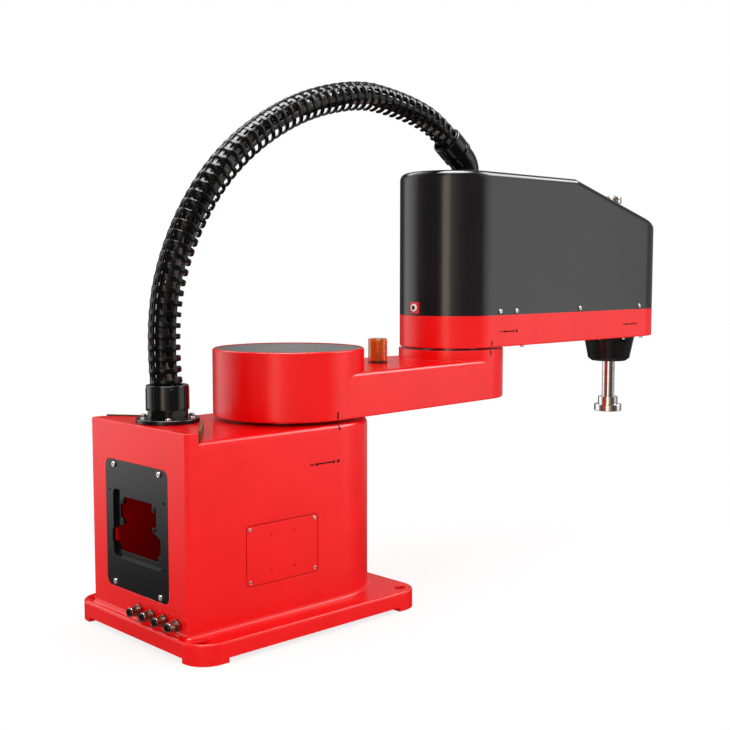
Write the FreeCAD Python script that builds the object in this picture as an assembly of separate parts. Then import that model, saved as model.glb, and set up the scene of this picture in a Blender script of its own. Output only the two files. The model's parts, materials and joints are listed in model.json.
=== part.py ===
import FreeCAD, Part
import math
import os

V = FreeCAD.Vector
UP = V(0, 0, 1)

# Four-axis arm robot of the 600 mm class, in millimetres.
# X in this file counts from the axis of the first joint, along the stretched arm.
# Z = 0 is the surface that the base is bolted to. When a piece is saved it moves
# along X, so that the origin ends at the centre of the four bolt holes.

# Base plate
plate_x0 = -199.0
plate_x1 = 92.0
plate_w = 225.0
plate_t = 16.0
plate_r = 25.0
plate_edge = 2.5
foot_h = 4.5
foot_len = 33.5
foot_w = 28.5
bolt_x0 = -185.0
bolt_x1 = 73.0
bolt_y = 97.0
bolt_d = 11.0
bolt_sink_d = 14.0
bolt_sink_h = 1.5
plate_top = foot_h + plate_t

# Column
col_x0 = -192.0
col_r = 85.0
col_h = 183.5
col_wall = 8.0
col_roof = 12.0
col_edge = 6.0
col_foot = 4.0
col_corner = 3.0
rear_rise = 9.0
rear_t = 14.0
rear_edge = 1.2
pad_r = 33.0
pad_seal_t = 2.0
pad_seal_rise = 1.4
pad_seal_end = 4.0
seal_gap = 0.1
gland_x = -155.0
gland_bore = 13.0
col_top = plate_top + col_h
rear_top = col_top + rear_rise
floor_lip = 6.0
floor_t = 3.0
gap = 0.4
wall_hole_d = 3.2
thread_gap = 0.1

# Rear connector panel
panel_y = 2.0
panel_w = 111.0
panel_h = 129.0
panel_z = 110.3
panel_t = 3.0
panel_r = 8.0
panel_ledge = 9.0
panel_screw_y = 40.5
panel_screw_z = 59.5
panel_screw_off = -1.6
panel_screw_d = 6.0
panel_screw_h = 1.8
panel_screw_len = 7.0
panel_tap_y = 48.5
panel_tap_z = 32.3
panel_tap_d = 2.8
tub_w = 88.0
tub_h = 72.0
tub_z = 110.9
tub_depth = 3.8
tub_wall = 1.8
tub_r = 7.0
cut_off = 2.6
cut_half = [
    (0.0, 138.0), (25.0, 138.0), (25.0, 130.8), (32.0, 130.8), (32.0, 116.2), (25.4, 115.0),
    (25.4, 110.4), (33.6, 107.2), (41.6, 103.6), (41.6, 90.6), (34.4, 88.0), (34.4, 82.8),
    (0.0, 82.8)]
tab_y = 28.2
tab_z = (132.6, 112.8)
tab_ring_r = 2.5
tab_ring_t = 0.9
tab_hole_d = 2.4

# Side access cover
side_x = -78.5
side_w = 90.0
side_z = 86.3
side_h = 59.0
side_t = 2.5
side_r = 4.0
side_gap = 0.9
side_ledge = 8.0
side_screw_x = 41.2
side_screw_z = 26.0
side_tap_x = 14.6
side_tap_z = 18.0
side_tap_d = 2.0
side_screw_d = 3.8
side_screw_h = 0.7
side_screw_len = 6.5
side_screw_hole_d = 2.6

# Air fittings
fit_y = -2.7
fit_pitch = 21.9
fit_count = 4
fit_z = 30.7
fit_hex = 11.0
fit_hex_t = 4.0
fit_neck_d = 7.0
fit_neck_len = 2.2
fit_d = 9.4
fit_len = 12.0
fit_ring_d = 7.8
fit_ring_t = 1.6
fit_bore = 6.0
fit_thread = 7.0
fit_socket = 10.0
fit_edge = 0.8
fit_step = 1.0

# Conduit gland on the base
gl_flange_d = 63.0
gl_flange_t = 4.5
gl_pcd = 54.5
gl_screw_turn = 57.0
gl_screw_n = 6
gl_hex = 42.0
gl_hex_h = 8.5
gl_neck_d = 38.0
gl_neck_h = 1.2
gl_collar_d = 42.0
gl_key_n = 8
gl_key_w = 3.4
gl_key_drop = 2.2
gl_h = 37.0
gl_socket = 10.0
gl_edge = 1.2
gl_collar_edge = 1.0
gl_hex_trim = 0.93
gl_key_end = 3.0
gl_key_out = 0.5
gl_screw_head_d = 5.6
gl_screw_h = 2.0
gl_screw_d = 3.0
gl_hole_d = 3.4
gl_top = rear_top + gl_h

# Conduit
con_d = 32.0
con_wall = 3.6
con_fit = 0.6
con_split = 4

# Upper conduit connector
up_collar_d = 36.6
up_collar_len = 26.0
up_socket = 9.0
up_edge = 1.2
el_d = 33.4
el_bore = 25.0
el_bend = 22.0
el_stub_step = 3.0
el_stub_gap = 0.4
up_groove_w = 4.6
up_groove_back = 9.0
up_groove_deep = 2.4

# First link
hub_r = 81.8
hub_z0 = col_top + 3.5
hub_h = 72.0
arm_top = hub_z0 + 47.5
boss_top = arm_top + 12.0
link1_len = 260.0
arm_inset = 0.5
arm_end_r = 64.5
arm_edge = 6.5
l1_wall = 7.0
l1_floor = 10.0
cap_t = 3.0
cap_rim = 2.6
cap_edge = 0.5
hub_edge = 2.5
low_edge = 1.5
cap_fit = 0.8
cap_sink = 0.6
hub_top = hub_z0 + hub_h

# Joint 1 drive
j1_red_r = 55.0
j1_red_h = 34.0
j1_cup_rise = 4.0
j1_gen_rise = 6.0
fit_slack = 0.1
j1_bearing_in = 4.6
j1_bearing_out = 5.0
j1_flange_in = 4.0
j1_ring_in = 40.0
j1_flex_r = 39.0
j1_flex_wall = 2.5
j1_lip = 7.0
j1_lip_t = 5.0
j1_bore_r = 30.0
j1_cam_t = 12.0
j1_cam_hub_r = 14.0
j1_cam_hub_more = 4.0
j1_cage = 14.0
j1_cage_h = 10.0
j1_motor_w = 80.0
j1_motor_h = 96.0
j1_shaft_bore = 6.0
j1_gen_long = 35.5
j1_gen_short = 33.5
drive_gap = 0.5
hub_screw_d = 5.0
hub_screw_head_d = 8.4
hub_screw_head_h = 4.5
hub_screw_n = 8
hub_screw_in = 3.0

# Joint 2 drive
j2_ring_r = 44.0
j2_ring_in = 33.0
j2_flex_r = 32.0
j2_flex_wall = 2.2
j2_gen_long = 29.0
j2_gen_short = 27.4
j2_motor_w = 60.0
j2_motor_h = 102.0
j2_cup_rise = 4.0
j2_gen_rise = 6.0
j2_bearing_slack = 0.6
j2_shaft_r = 7.0
j2_cam_t = 12.0
j2_out_h = 3.6
j2_hub_r = 38.0
j2_hub_t = 4.0

# Servo motors; the shares are of the motor's width or height
motor_corner = 0.09
motor_grooves = (0.14, 0.72)
motor_groove_w = 2.0
motor_groove_r = 0.49
plug_half = 0.16
plug_z = (26.0, 8.0)
plug_in = 2.0
plug_out = 8.0

# Beacon lamp on the first link
lamp_x = 134.0
lamp_d = 22.0
lamp_base_h = 2.6
lamp_top = arm_top + 28.4
lamp_ring_z = arm_top + 19.0
lamp_ring_deep = 0.5
lamp_wall = 1.8
lamp_core_d = 9.0
lamp_edge = 1.2
lamp_roof = 2.5
lamp_core_drop = 6.0
lamp_groove_w = 1.0
lamp_stem_gap = 0.2

# Second link
link2_len = 340.0
l2_gap = 2.5
l2_r = 63.4
l2_front_r = 59.3
l2_h = 38.5
l2_wall = 6.0
l2_floor = 8.0
cov_h = 171.8
cov_wall = 3.0
cov_edge = 9.0
cov_slope_run = 163.0
cov_slope = 15.0
cov_hole_r = 17.5
l2_z0 = boss_top + l2_gap
l2_z1 = l2_z0 + l2_h
cov_top = l2_z1 + cov_h
quill_x = link1_len + link2_len
cov_screw_x = (link1_len + 19.0, link1_len + 50.0, quill_x - 157.0, quill_x - 16.0)
cov_screw_d = 5.6
cov_screw_h = 1.4
cov_screw_gap = 0.2
cov_screw_rise = 4.5
under_screw_x = (link1_len + 66.0, quill_x - 4.0)
under_screw_in = 3.4
under_screw_d = 5.0
under_screw_h = 2.2
under_screw_len = 8.0
under_hole_d = 3.0
el_x = link1_len + 25.0
con_points = [
    (gland_x, gl_top - gl_socket), (gland_x - 8.0, gl_top + 60.0), (gland_x + 18.5, gl_top + 150.0),
    (gland_x + 75.5, gl_top + 228.5), (gland_x + 162.5, gl_top + 285.0),
    (el_x - 185.0, cov_top + 80.2), (el_x - 125.0, cov_top + 74.7), (el_x - 77.0, cov_top + 64.0),
    (el_x - 49.0, cov_top + 49.7), (el_x - 28.5, cov_top + 34.5)]

# Quill and its nuts
quill_r = 9.0
quill_bore = 4.0
quill_z0 = 159.0
groove_r = 1.3
quill_edge = 0.8
groove_out = 0.2
tool_r = 19.5
tool_t = 9.5
clamp_r = 14.0
clamp_t = 11.0
clamp_slit = 1.6
tool_pin_d = 5.0
tool_hole_d = 4.5
tool_pcd = 29.0
tool_edge = 0.8
clamp_screw_r = 1.5
clamp_screw_half = 6.0
stop_r = 14.0
stop_z0 = cov_top - 23.0
stop_t = 9.0
stop_slit_turn = 284.0
stop_screw_turn = 249.0
stop_screw_d = 3.2
quill_z1 = stop_z0 + stop_t + 2.0
nut_r = 16.0
nut_bore_gap = 0.35
spline_z0 = l2_z0 - 17.5
spline_z1 = l2_z0 + 28.5
sb_z0 = l2_z0 + 1.0
sb_t = 14.0
sb_r = 26.0
sb_wall = 6.0
sb_rise = 8.0
sb_ledge = 4.0
sp_r = 30.0
sp_t = 11.0
bn_z0 = l2_z0 + 44.5
bn_z1 = l2_z0 + 80.5
bp_r = 26.0
bp_t = 12.0
bb_r = 25.0
sp_teeth = 36
bp_teeth = 32
tooth_rim = 1.2
notch_share = 0.55

# Drive plate in the second link
dp_z0 = l2_z0 + 61.5
dp_t = 8.0
dp_x0 = link1_len + 106.0
dp_x1 = quill_x + 34.0
dp_w = 84.0
dp_corner = 8.0
dp_motor_share = 0.3
window_rear = 6.0
window_front = 8.0
window_side = 16.0
window_r = 5.0
post_r = 5.0
post_x = (link1_len + 116.0, quill_x - 140.0, quill_x - 45.0)
post_pin = 5.0
post_y = 36.0
m3_x = link1_len + 148.0
m3_w = 60.0
m3_h = 78.0
m4_x = quill_x - 100.0
m4_w = 42.0
m4_h = 70.0
mp3_r = 14.0
mp4_r = 11.0
mp3_teeth = 18
mp4_teeth = 14
belt_rim = 1.5
belt_t = 2.0
belt_gap = 0.3
m_shaft_r = 4.0

# Bottom cone round the quill
cone_top_r = 36.3
cone_low_r = 29.5
cone_tip_r = 24.0
cone_z0 = l2_z0 - 37.5
cone_chamfer = 4.0
cone_wall = 3.0
cone_lip = 3.0
cone_screw_r = 33.4
cone_screw_n = 6
cone_screw_turn = 10.0
cone_screw_d = 5.2
cone_screw_h = 2.6
cone_pocket_d = 6.8

# Brake release button
but_z = l2_z1 + 9.5
bez_w = 13.6
bez_h = 13.6
bez_t = 2.2
but_r = 4.6
but_len = 9.0
but_rise = 1.4
but_gap = 0.4
barrel_wall = 1.4
barrel_len = 20.0
barrel_floor = 1.5
spring_r = 2.8
spring_wire = 0.5
spring_turns = 4


# Small builders
def box(x0, x1, y0, y1, z0, z1):
    return Part.makeBox(x1 - x0, y1 - y0, z1 - z0, V(x0, y0, z0))


def cyl(r, z0, z1, x=0.0, y=0.0):
    return Part.makeCylinder(r, z1 - z0, V(x, y, z0))


def ring(ro, ri, z0, z1, x=0.0, y=0.0):
    return cyl(ro, z0, z1, x, y).cut(cyl(ri, z0, z1, x, y))


def rod_x(r, x0, x1, y, z):
    return Part.makeCylinder(r, x1 - x0, V(x0, y, z), V(1, 0, 0))


def rod_y(r, y0, y1, x, z):
    return Part.makeCylinder(r, y1 - y0, V(x, y0, z), V(0, 1, 0))


def prism(points, z0, z1):
    wire = Part.makePolygon([V(x, y, z0) for x, y in points] + [V(*points[0], z0)])
    return Part.Face(wire).extrude(V(0, 0, z1 - z0))


def hexagon(flats, z0, z1, x=0.0, y=0.0):
    r = flats / math.sqrt(3)
    pts = [(x + r * math.cos(math.radians(60 * i)), y + r * math.sin(math.radians(60 * i)))
           for i in range(6)]
    return prism(pts, z0, z1)


def fuse(parts):
    out = parts[0]
    if len(parts) > 1:
        out = out.multiFuse(parts[1:]).removeSplitter()
    return out


def cut(body, tools):
    for tool in tools:
        body = body.cut(tool)
    return body


def round_edges(body, radius, wanted):
    edges = [e for e in body.Edges if wanted(e)]
    return body.makeFillet(radius, edges) if edges else body


def level(edge, z, tol=0.01):
    box_ = edge.BoundBox
    return abs(box_.ZMin - z) < tol and abs(box_.ZMax - z) < tol


def upright(edge):
    box_ = edge.BoundBox
    return box_.ZLength > 1 and box_.XLength < 0.01 and box_.YLength < 0.01


def slab(x0, x1, y0, y1, r, z0, z1):
    body = box(x0, x1, y0, y1, z0, z1)
    return body.makeFillet(r, [e for e in body.Edges if upright(e)])


def panel_x(y, w, z, h, r, x0, x1):
    """A rounded rectangle in the YZ plane, from x0 to x1."""
    body = box(x0, x1, y - w / 2, y + w / 2, z - h / 2, z + h / 2)
    edges = [e for e in body.Edges if e.BoundBox.XLength > (x1 - x0) / 2]
    return body.makeFillet(r, edges)


def panel_side(x, w, z, h, r, y0, y1):
    """A rounded rectangle in the XZ plane, from y0 to y1."""
    body = box(x - w / 2, x + w / 2, y0, y1, z - h / 2, z + h / 2)
    edges = [e for e in body.Edges if e.BoundBox.YLength > (y1 - y0) / 2]
    return body.makeFillet(r, edges)


def column_form(x0, r, z0, z1):
    """A straight back with a half-round front about the first axis."""
    a = V(x0, -r, z0)
    b = V(0, -r, z0)
    c = V(0, r, z0)
    d = V(x0, r, z0)
    arc = Part.Arc(b, V(r, 0, z0), c).toShape()
    sides = [Part.LineSegment(a, b).toShape(), arc,
             Part.LineSegment(c, d).toShape(), Part.LineSegment(d, a).toShape()]
    return Part.Face(Part.Wire(sides)).extrude(V(0, 0, z1 - z0))


def arm_form(xa, ra, xb, rb, z0, z1):
    """Two round ends joined by their common tangents."""
    turn = math.asin((ra - rb) / (xb - xa))
    s, c = math.sin(turn), math.cos(turn)
    a1 = V(xa + ra * s, -ra * c, z0)
    b1 = V(xb + rb * s, -rb * c, z0)
    a2 = V(a1.x, -a1.y, z0)
    b2 = V(b1.x, -b1.y, z0)
    sides = [Part.LineSegment(a1, b1).toShape(),
             Part.Arc(b1, V(xb + rb, 0, z0), b2).toShape(),
             Part.LineSegment(b2, a2).toShape(),
             Part.Arc(a2, V(xa - ra, 0, z0), a1).toShape()]
    return Part.Face(Part.Wire(sides)).extrude(V(0, 0, z1 - z0))


def oval(a, b, z0, z1, x=0.0):
    form = Part.Ellipse(V(x, 0, z0), a, b).toShape()
    return Part.Face(Part.Wire([form])).extrude(V(0, 0, z1 - z0))


def cap_screw(r, head_h, shank_r, length, x, y, z):
    """A socket screw whose head stands on z and whose shank goes down."""
    head = cyl(r, z, z + head_h, x, y)
    socket = hexagon(r * 0.95, z + head_h * 0.45, z + head_h, x, y)
    return head.cut(socket).fuse(cyl(shank_r, z - length, z, x, y)).removeSplitter()


def wall_screw(r, head_h, shank_r, length, at, out):
    """A button-head screw in a wall; out points away from the wall."""
    head = Part.makeCylinder(r, head_h, at, out)
    head = head.makeFillet(head_h * 0.45, [head.Edges[0]])
    socket = Part.makeCylinder(r * 0.45, head_h * 0.5, at + out * (head_h * 0.5), out)
    shank = Part.makeCylinder(shank_r, length, at - out * length, out)
    return head.cut(socket).fuse(shank).removeSplitter()


def save(name, parts):
    shape = Part.makeCompound(parts) if len(parts) > 1 else parts[0]
    shape.translate(V(-(bolt_x0 + bolt_x1) / 2, 0, 0))
    shape.exportStep("parts/%s.step" % name)


# Base casting
def foot_pad(x, y):
    """The low pad under one corner of the plate."""
    inner_x = x + foot_len if x < 0 else x - foot_len
    inner_y = y + foot_w if y < 0 else y - foot_w
    blank = slab(plate_x0, plate_x1, -plate_w / 2, plate_w / 2, plate_r, 0, foot_h)
    tool = box(min(x, inner_x), max(x, inner_x), min(y, inner_y), max(y, inner_y), 0, foot_h)
    return blank.common(tool)


def bolt_places():
    return [(x, y) for x in (bolt_x0, bolt_x1) for y in (-bolt_y, bolt_y)]


def pad_corner(side):
    """Where the pad's slanted side meets its round end about the gland."""
    run = gland_x - col_x0 - rear_t
    turn = math.atan2(col_r, run) - math.asin(pad_r / math.hypot(run, col_r))
    length = math.sqrt(run ** 2 + col_r ** 2 - pad_r ** 2)
    return (col_x0 + rear_t + length * math.cos(turn), side * (col_r - length * math.sin(turn)))


def rear_pad():
    """The raised strip at the back, which narrows to a round end under the gland."""
    z0 = col_top - col_edge - 1
    front = col_x0 + rear_t
    strip = slab(col_x0, front + rear_t, -col_r, col_r, col_corner, z0, rear_top)
    strip = strip.common(box(col_x0, front, -col_r, col_r, z0, rear_top))
    near, far = pad_corner(-1), pad_corner(1)
    wedge = prism([(front, -col_r), near, far, (front, col_r)], col_top - 1, rear_top)
    body = fuse([strip, wedge, cyl(pad_r, col_top - 1, rear_top, gland_x)])
    return round_edges(body, rear_edge, lambda e: level(e, rear_top))


def base_casting():
    plate = slab(plate_x0, plate_x1, -plate_w / 2, plate_w / 2, plate_r, foot_h, plate_top)
    plate = round_edges(plate, plate_edge, lambda e: level(e, plate_top))
    column = column_form(col_x0, col_r, foot_h, col_top)
    column = round_edges(column, col_corner,
                         lambda e: upright(e) and abs(e.BoundBox.XMin - col_x0) < 0.1)
    column = round_edges(column, col_edge, lambda e: level(e, col_top))
    body = plate.fuse(column).removeSplitter()
    body = round_edges(body, col_foot,
                       lambda e: level(e, plate_top) and abs(e.BoundBox.YMin) < col_r + 1
                       and e.BoundBox.XMin > col_x0 - 1 and e.BoundBox.XMax < col_r + 1
                       and abs(e.BoundBox.YMax) < col_r + 1)
    corners = [(x, y) for x in (plate_x0, plate_x1) for y in (-plate_w / 2, plate_w / 2)]
    body = fuse([body, rear_pad()] + [foot_pad(x, y) for x, y in corners])
    inner_r = col_r - col_wall
    cavity = column_form(col_x0 + col_wall, inner_r, foot_h, col_top - col_roof)
    lip = column_form(col_x0 + col_wall - floor_lip, inner_r + floor_lip, foot_h, foot_h + floor_t)
    body = cut(body, [cavity, lip])
    body = cut(body, [cyl(j1_red_r, col_top - col_roof, col_top)])
    body = cut(body, [cyl(gland_bore, col_top - col_roof, rear_top, gland_x)])
    for x, y in bolt_places():
        body = body.cut(cyl(bolt_d / 2, 0, plate_top, x, y))
        body = body.cut(cyl(bolt_sink_d / 2, plate_top - bolt_sink_h, plate_top, x, y))
    body = body.cut(panel_x(panel_y, panel_w + gap, panel_z, panel_h + gap, panel_r,
                            col_x0, col_x0 + panel_t))
    body = body.cut(panel_x(panel_y, panel_w - 2 * panel_ledge, panel_z,
                            panel_h - 2 * panel_ledge, panel_r, col_x0, col_x0 + col_wall))
    body = body.cut(panel_side(side_x, side_w + 2 * side_gap, side_z, side_h + 2 * side_gap,
                               side_r + side_gap, -col_r, -col_r + side_t))
    body = body.cut(panel_side(side_x, side_w - 2 * side_ledge, side_z,
                               side_h - 2 * side_ledge, side_r, -col_r, -col_r + col_wall))
    for y in fitting_places():
        body = body.cut(rod_x(fit_thread / 2, col_x0, col_x0 + col_wall, y, fit_z))
    for y, z in panel_screw_places():
        body = body.cut(rod_x(wall_hole_d / 2, col_x0, col_x0 + col_wall, y, z))
    for x, z in side_screw_places():
        body = body.cut(rod_y(side_screw_hole_d / 2, -col_r, -col_r + col_wall, x, z))
    return body


def pad_seals():
    """Two narrow seals that stand against the slanted sides of the pad."""
    out = []
    for side in (-1, 1):
        a = V(col_x0 + rear_t, side * col_r, 0)
        b = V(*pad_corner(side), 0)
        along = (b - a).normalize()
        away = V(along.y, -along.x, 0) * (-side)
        start = a + along * pad_seal_end + away * seal_gap
        end = b - along * pad_seal_end + away * seal_gap
        corners = [start, end, end + away * pad_seal_t, start + away * pad_seal_t]
        out.append(prism([(c.x, c.y) for c in corners], col_top, rear_top + pad_seal_rise))
    return out


def bottom_cover():
    inset = floor_lip - gap
    inner_r = col_r - col_wall
    return column_form(col_x0 + col_wall - inset, inner_r + inset, foot_h + gap / 2,
                       foot_h + floor_t)


# Rear panel with its sunken connector tray
def cutout():
    """The stepped opening in the floor of the tray."""
    middle = panel_y + cut_off
    points = [(middle + y, z) for y, z in cut_half]
    points += [(middle - y, z) for y, z in reversed(cut_half[1:-1])]
    wire = Part.makePolygon([V(col_x0, y, z) for y, z in points + points[:1]])
    return Part.Face(wire).extrude(V(tub_depth + tub_wall + 1, 0, 0))


def tab_places():
    return [(panel_y + cut_off + sy * tab_y, z) for sy in (-1, 1) for z in tab_z]


def panel_screw_places():
    middle = panel_y + panel_screw_off
    return [(middle + sy * panel_screw_y, panel_z + sz * panel_screw_z)
            for sy in (-1, 1) for sz in (-1, 1)]


def rear_panel():
    plate = panel_x(panel_y, panel_w, panel_z, panel_h, panel_r, col_x0, col_x0 + panel_t)
    back = col_x0 + tub_depth + tub_wall
    tub = panel_x(panel_y, tub_w, tub_z, tub_h, tub_r, col_x0, back)
    body = fuse([plate, tub])
    pocket = panel_x(panel_y, tub_w - 2 * tub_wall, tub_z, tub_h - 2 * tub_wall,
                     tub_r - tub_wall, col_x0, col_x0 + tub_depth)
    body = cut(body, [pocket, cutout()])
    for y, z in tab_places():
        boss = rod_x(tab_ring_r, col_x0 + tub_depth - tab_ring_t, back, y, z)
        body = body.fuse(boss).cut(rod_x(tab_hole_d / 2, col_x0, back, y, z))
    for sy in (-1, 1):
        for sz in (-1, 1):
            body = body.cut(rod_x(panel_tap_d / 2, col_x0, col_x0 + panel_t,
                                  panel_y + sy * panel_tap_y, panel_z + sz * panel_tap_z))
    for y, z in panel_screw_places():
        body = body.cut(rod_x(wall_hole_d / 2 + gap, col_x0, col_x0 + panel_t, y, z))
    return body


def rear_panel_screws():
    return [wall_screw(panel_screw_d / 2, panel_screw_h, wall_hole_d / 2 - thread_gap, panel_screw_len,
                       V(col_x0, y, z), V(-1, 0, 0)) for y, z in panel_screw_places()]


# Side cover
def side_screw_places():
    return [(side_x + sx * side_screw_x, side_z + sz * side_screw_z)
            for sx in (-1, 1) for sz in (-1, 1)]


def side_cover():
    body = panel_side(side_x, side_w, side_z, side_h, side_r, -col_r, -col_r + side_t)
    for x, z in side_screw_places():
        body = body.cut(rod_y(side_screw_hole_d / 2 + gap / 2, -col_r, -col_r + side_t, x, z))
    for sx in (-1, 1):
        for sz in (-1, 1):
            body = body.cut(rod_y(side_tap_d / 2, -col_r, -col_r + side_t,
                                  side_x + sx * side_tap_x, side_z + sz * side_tap_z))
    return body


def side_cover_screws():
    return [wall_screw(side_screw_d / 2, side_screw_h, side_screw_hole_d / 2 - thread_gap,
                       side_screw_len, V(x, -col_r, z), V(0, -1, 0)) for x, z in side_screw_places()]


# Air fittings
def fitting_places():
    return [fit_y - i * fit_pitch for i in range(fit_count)]


def air_fitting(y):
    """A hexagon against the wall, a neck and a thicker mouth for the tube."""
    hexa = hexagon(fit_hex, 0, fit_hex_t)
    hexa.rotate(V(0, 0, 0), V(0, 1, 0), -90)
    hexa.translate(V(col_x0, y, fit_z))
    x_neck = col_x0 - fit_hex_t - fit_neck_len
    neck = rod_x(fit_neck_d / 2, x_neck, col_x0, y, fit_z)
    mouth = rod_x(fit_d / 2, col_x0 - fit_len, x_neck, y, fit_z)
    mouth = round_edges(mouth, fit_edge, lambda e: e.BoundBox.XLength < 0.01)
    thread = rod_x(fit_thread / 2 - thread_gap, col_x0, col_x0 + col_wall, y, fit_z)
    body = fuse([hexa, neck, mouth, thread])
    body = body.cut(rod_x(fit_bore / 2 - fit_step, col_x0 - fit_len, col_x0 + col_wall, y, fit_z))
    return body.cut(rod_x(fit_bore / 2, col_x0 - fit_len, col_x0 - fit_len + fit_socket, y, fit_z))


def fitting_ring(y):
    x1 = col_x0 - fit_len
    body = rod_x(fit_ring_d / 2, x1 - fit_ring_t, x1, y, fit_z)
    return body.cut(rod_x(fit_bore / 2, x1 - fit_ring_t, x1, y, fit_z))


# Conduit gland
def gland_screw_places():
    turns = [math.radians(gl_screw_turn + 360 * i / gl_screw_n) for i in range(gl_screw_n)]
    return [(gland_x + gl_pcd / 2 * math.cos(a), gl_pcd / 2 * math.sin(a)) for a in turns]


def conduit_gland():
    z1 = rear_top + gl_flange_t
    z2 = z1 + gl_hex_h
    z3 = z2 + gl_neck_h
    flange = cyl(gl_flange_d / 2, rear_top, z1, gland_x)
    flange = round_edges(flange, gl_edge, lambda e: level(e, z1))
    hexa = hexagon(gl_hex * gl_hex_trim, z1, z2, gland_x).common(cyl(gl_hex / 2, z1, z2, gland_x))
    collar = cyl(gl_collar_d / 2, z3, gl_top, gland_x)
    collar = round_edges(collar, gl_collar_edge, lambda e: level(e, gl_top))
    for i in range(gl_key_n):
        key = box(gl_neck_d / 2 - 1, gl_collar_d / 2 + gl_key_out, -gl_key_w / 2, gl_key_w / 2,
                  z3 - gl_key_drop, gl_top - gl_key_end)
        key.rotate(V(0, 0, 0), UP, (i + 0.5) * 360 / gl_key_n)
        key.translate(V(gland_x, 0, 0))
        collar = collar.fuse(key)
    body = fuse([flange, hexa, cyl(gl_neck_d / 2, z2, z3, gland_x), collar])
    start = V(con_points[0][0], 0, con_points[0][1])
    along = (V(con_points[1][0], 0, con_points[1][1]) - start).normalize()
    body = body.cut(Part.makeCylinder(con_d / 2 + con_fit, 2 * gl_socket, start, along))
    body = body.cut(cyl(gland_bore, rear_top, gl_top, gland_x))
    for x, y in gland_screw_places():
        body = body.cut(cyl(gl_hole_d / 2, rear_top, z1, x, y))
    return body


def gland_screws():
    return [cap_screw(gl_screw_head_d / 2, gl_screw_h, gl_screw_d / 2, gl_flange_t, x, y,
                      rear_top + gl_flange_t) for x, y in gland_screw_places()]


# Conduit path with tangent arcs
def path_edges(points):
    """Straight runs joined by arcs; returns the edges and the radii."""
    pts = [V(x, 0, z) for x, z in points]
    edges, radii, start = [], [], pts[0]
    for a, b, c in zip(pts, pts[1:], pts[2:]):
        u, w = (b - a).normalize(), (c - b).normalize()
        turn = u.getAngle(w)
        trim = 0.45 * min((b - a).Length, (c - b).Length)
        radius = trim / math.tan(turn / 2)
        p, q = b - u * trim, b + w * trim
        side = (w - u).normalize()
        mid = b + side * (radius / math.cos(turn / 2) - radius)
        edges.append(Part.LineSegment(start, p).toShape())
        edges.append(Part.Arc(p, mid, q).toShape())
        radii.append(radius)
        start = q
    edges.append(Part.LineSegment(start, pts[-1]).toShape())
    return edges, radii


def split_path():
    """The whole path, parted at the middle of one straight run."""
    edges, radii = path_edges(con_points)
    at = 2 * con_split
    a, b = [v.Point for v in edges[at].Vertexes]
    mid = (a + b) * 0.5
    lower = edges[:at] + [Part.LineSegment(a, mid).toShape()]
    upper = [Part.LineSegment(mid, b).toShape()] + edges[at + 1:]
    print("conduit length %.1f" % sum(e.Length for e in edges), "radii",
          ["%.0f" % r for r in radii])
    return lower, upper


def sweep(edges, r_out, r_in):
    wire = Part.Wire(edges)
    start = edges[0].Vertexes[0].Point
    along = edges[0].Vertexes[-1].Point - start
    solids = []
    for r in (r_out, r_in):
        profile = Part.Wire([Part.makeCircle(r, start, along)])
        solids.append(wire.makePipeShell([profile], True, True))
    return solids[0].cut(solids[1])


def conduit_piece(edges, name):
    body = sweep(edges, con_d / 2, con_d / 2 - con_wall)
    length = sum(e.Length for e in edges)
    section = math.pi * ((con_d / 2) ** 2 - (con_d / 2 - con_wall) ** 2)
    print(name, "length %.1f" % length, "volume ratio %.4f" % (body.Volume / (section * length)))
    return body


# Upper connector and elbow
def end_direction():
    a, b = con_points[-2], con_points[-1]
    return (V(b[0], 0, b[1]) - V(a[0], 0, a[1])).normalize()


def upper_collar():
    along = end_direction()
    end = V(con_points[-1][0], 0, con_points[-1][1])
    start = end - along * up_socket
    body = Part.makeCylinder(up_collar_d / 2, up_collar_len, start, along)
    body = round_edges(body, up_edge, lambda e: (e.CenterOfMass - start).Length < 1)
    foot = start + along * (up_collar_len - up_groove_back)
    groove = Part.makeCylinder(up_collar_d / 2 + 1, up_groove_w, foot, along)
    groove = groove.cut(Part.makeCylinder(up_collar_d / 2 - up_groove_deep, up_groove_w, foot, along))
    body = body.cut(groove)
    body = body.cut(Part.makeCylinder(con_d / 2 + con_fit, up_socket, start, along))
    return body.cut(Part.makeCylinder(el_bore / 2, up_collar_len, start, along))


def elbow():
    along = end_direction()
    end = V(con_points[-1][0], 0, con_points[-1][1])
    start = end + along * (up_collar_len - up_socket)
    reach = (el_x - start.x) / along.x
    corner = start + along * reach
    foot = V(el_x, 0, cov_top)
    down = V(0, 0, -1)
    turn = along.getAngle(down)
    trim = min(el_bend * math.tan(turn / 2), reach * 0.95, (corner.z - foot.z) * 0.8)
    radius = trim / math.tan(turn / 2)
    p, q = corner - along * trim, corner + down * trim
    side = (down - along).normalize()
    mid = corner + side * (radius / math.cos(turn / 2) - radius)
    edges = [Part.LineSegment(start, p).toShape(), Part.Arc(p, mid, q).toShape(),
             Part.LineSegment(q, foot).toShape()]
    body = sweep(edges, el_d / 2, el_bore / 2)
    stub = ring(el_d / 2 - el_stub_step, el_bore / 2, cov_top - cov_wall - el_stub_step, cov_top, el_x)
    return body.fuse(stub).removeSplitter()


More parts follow.
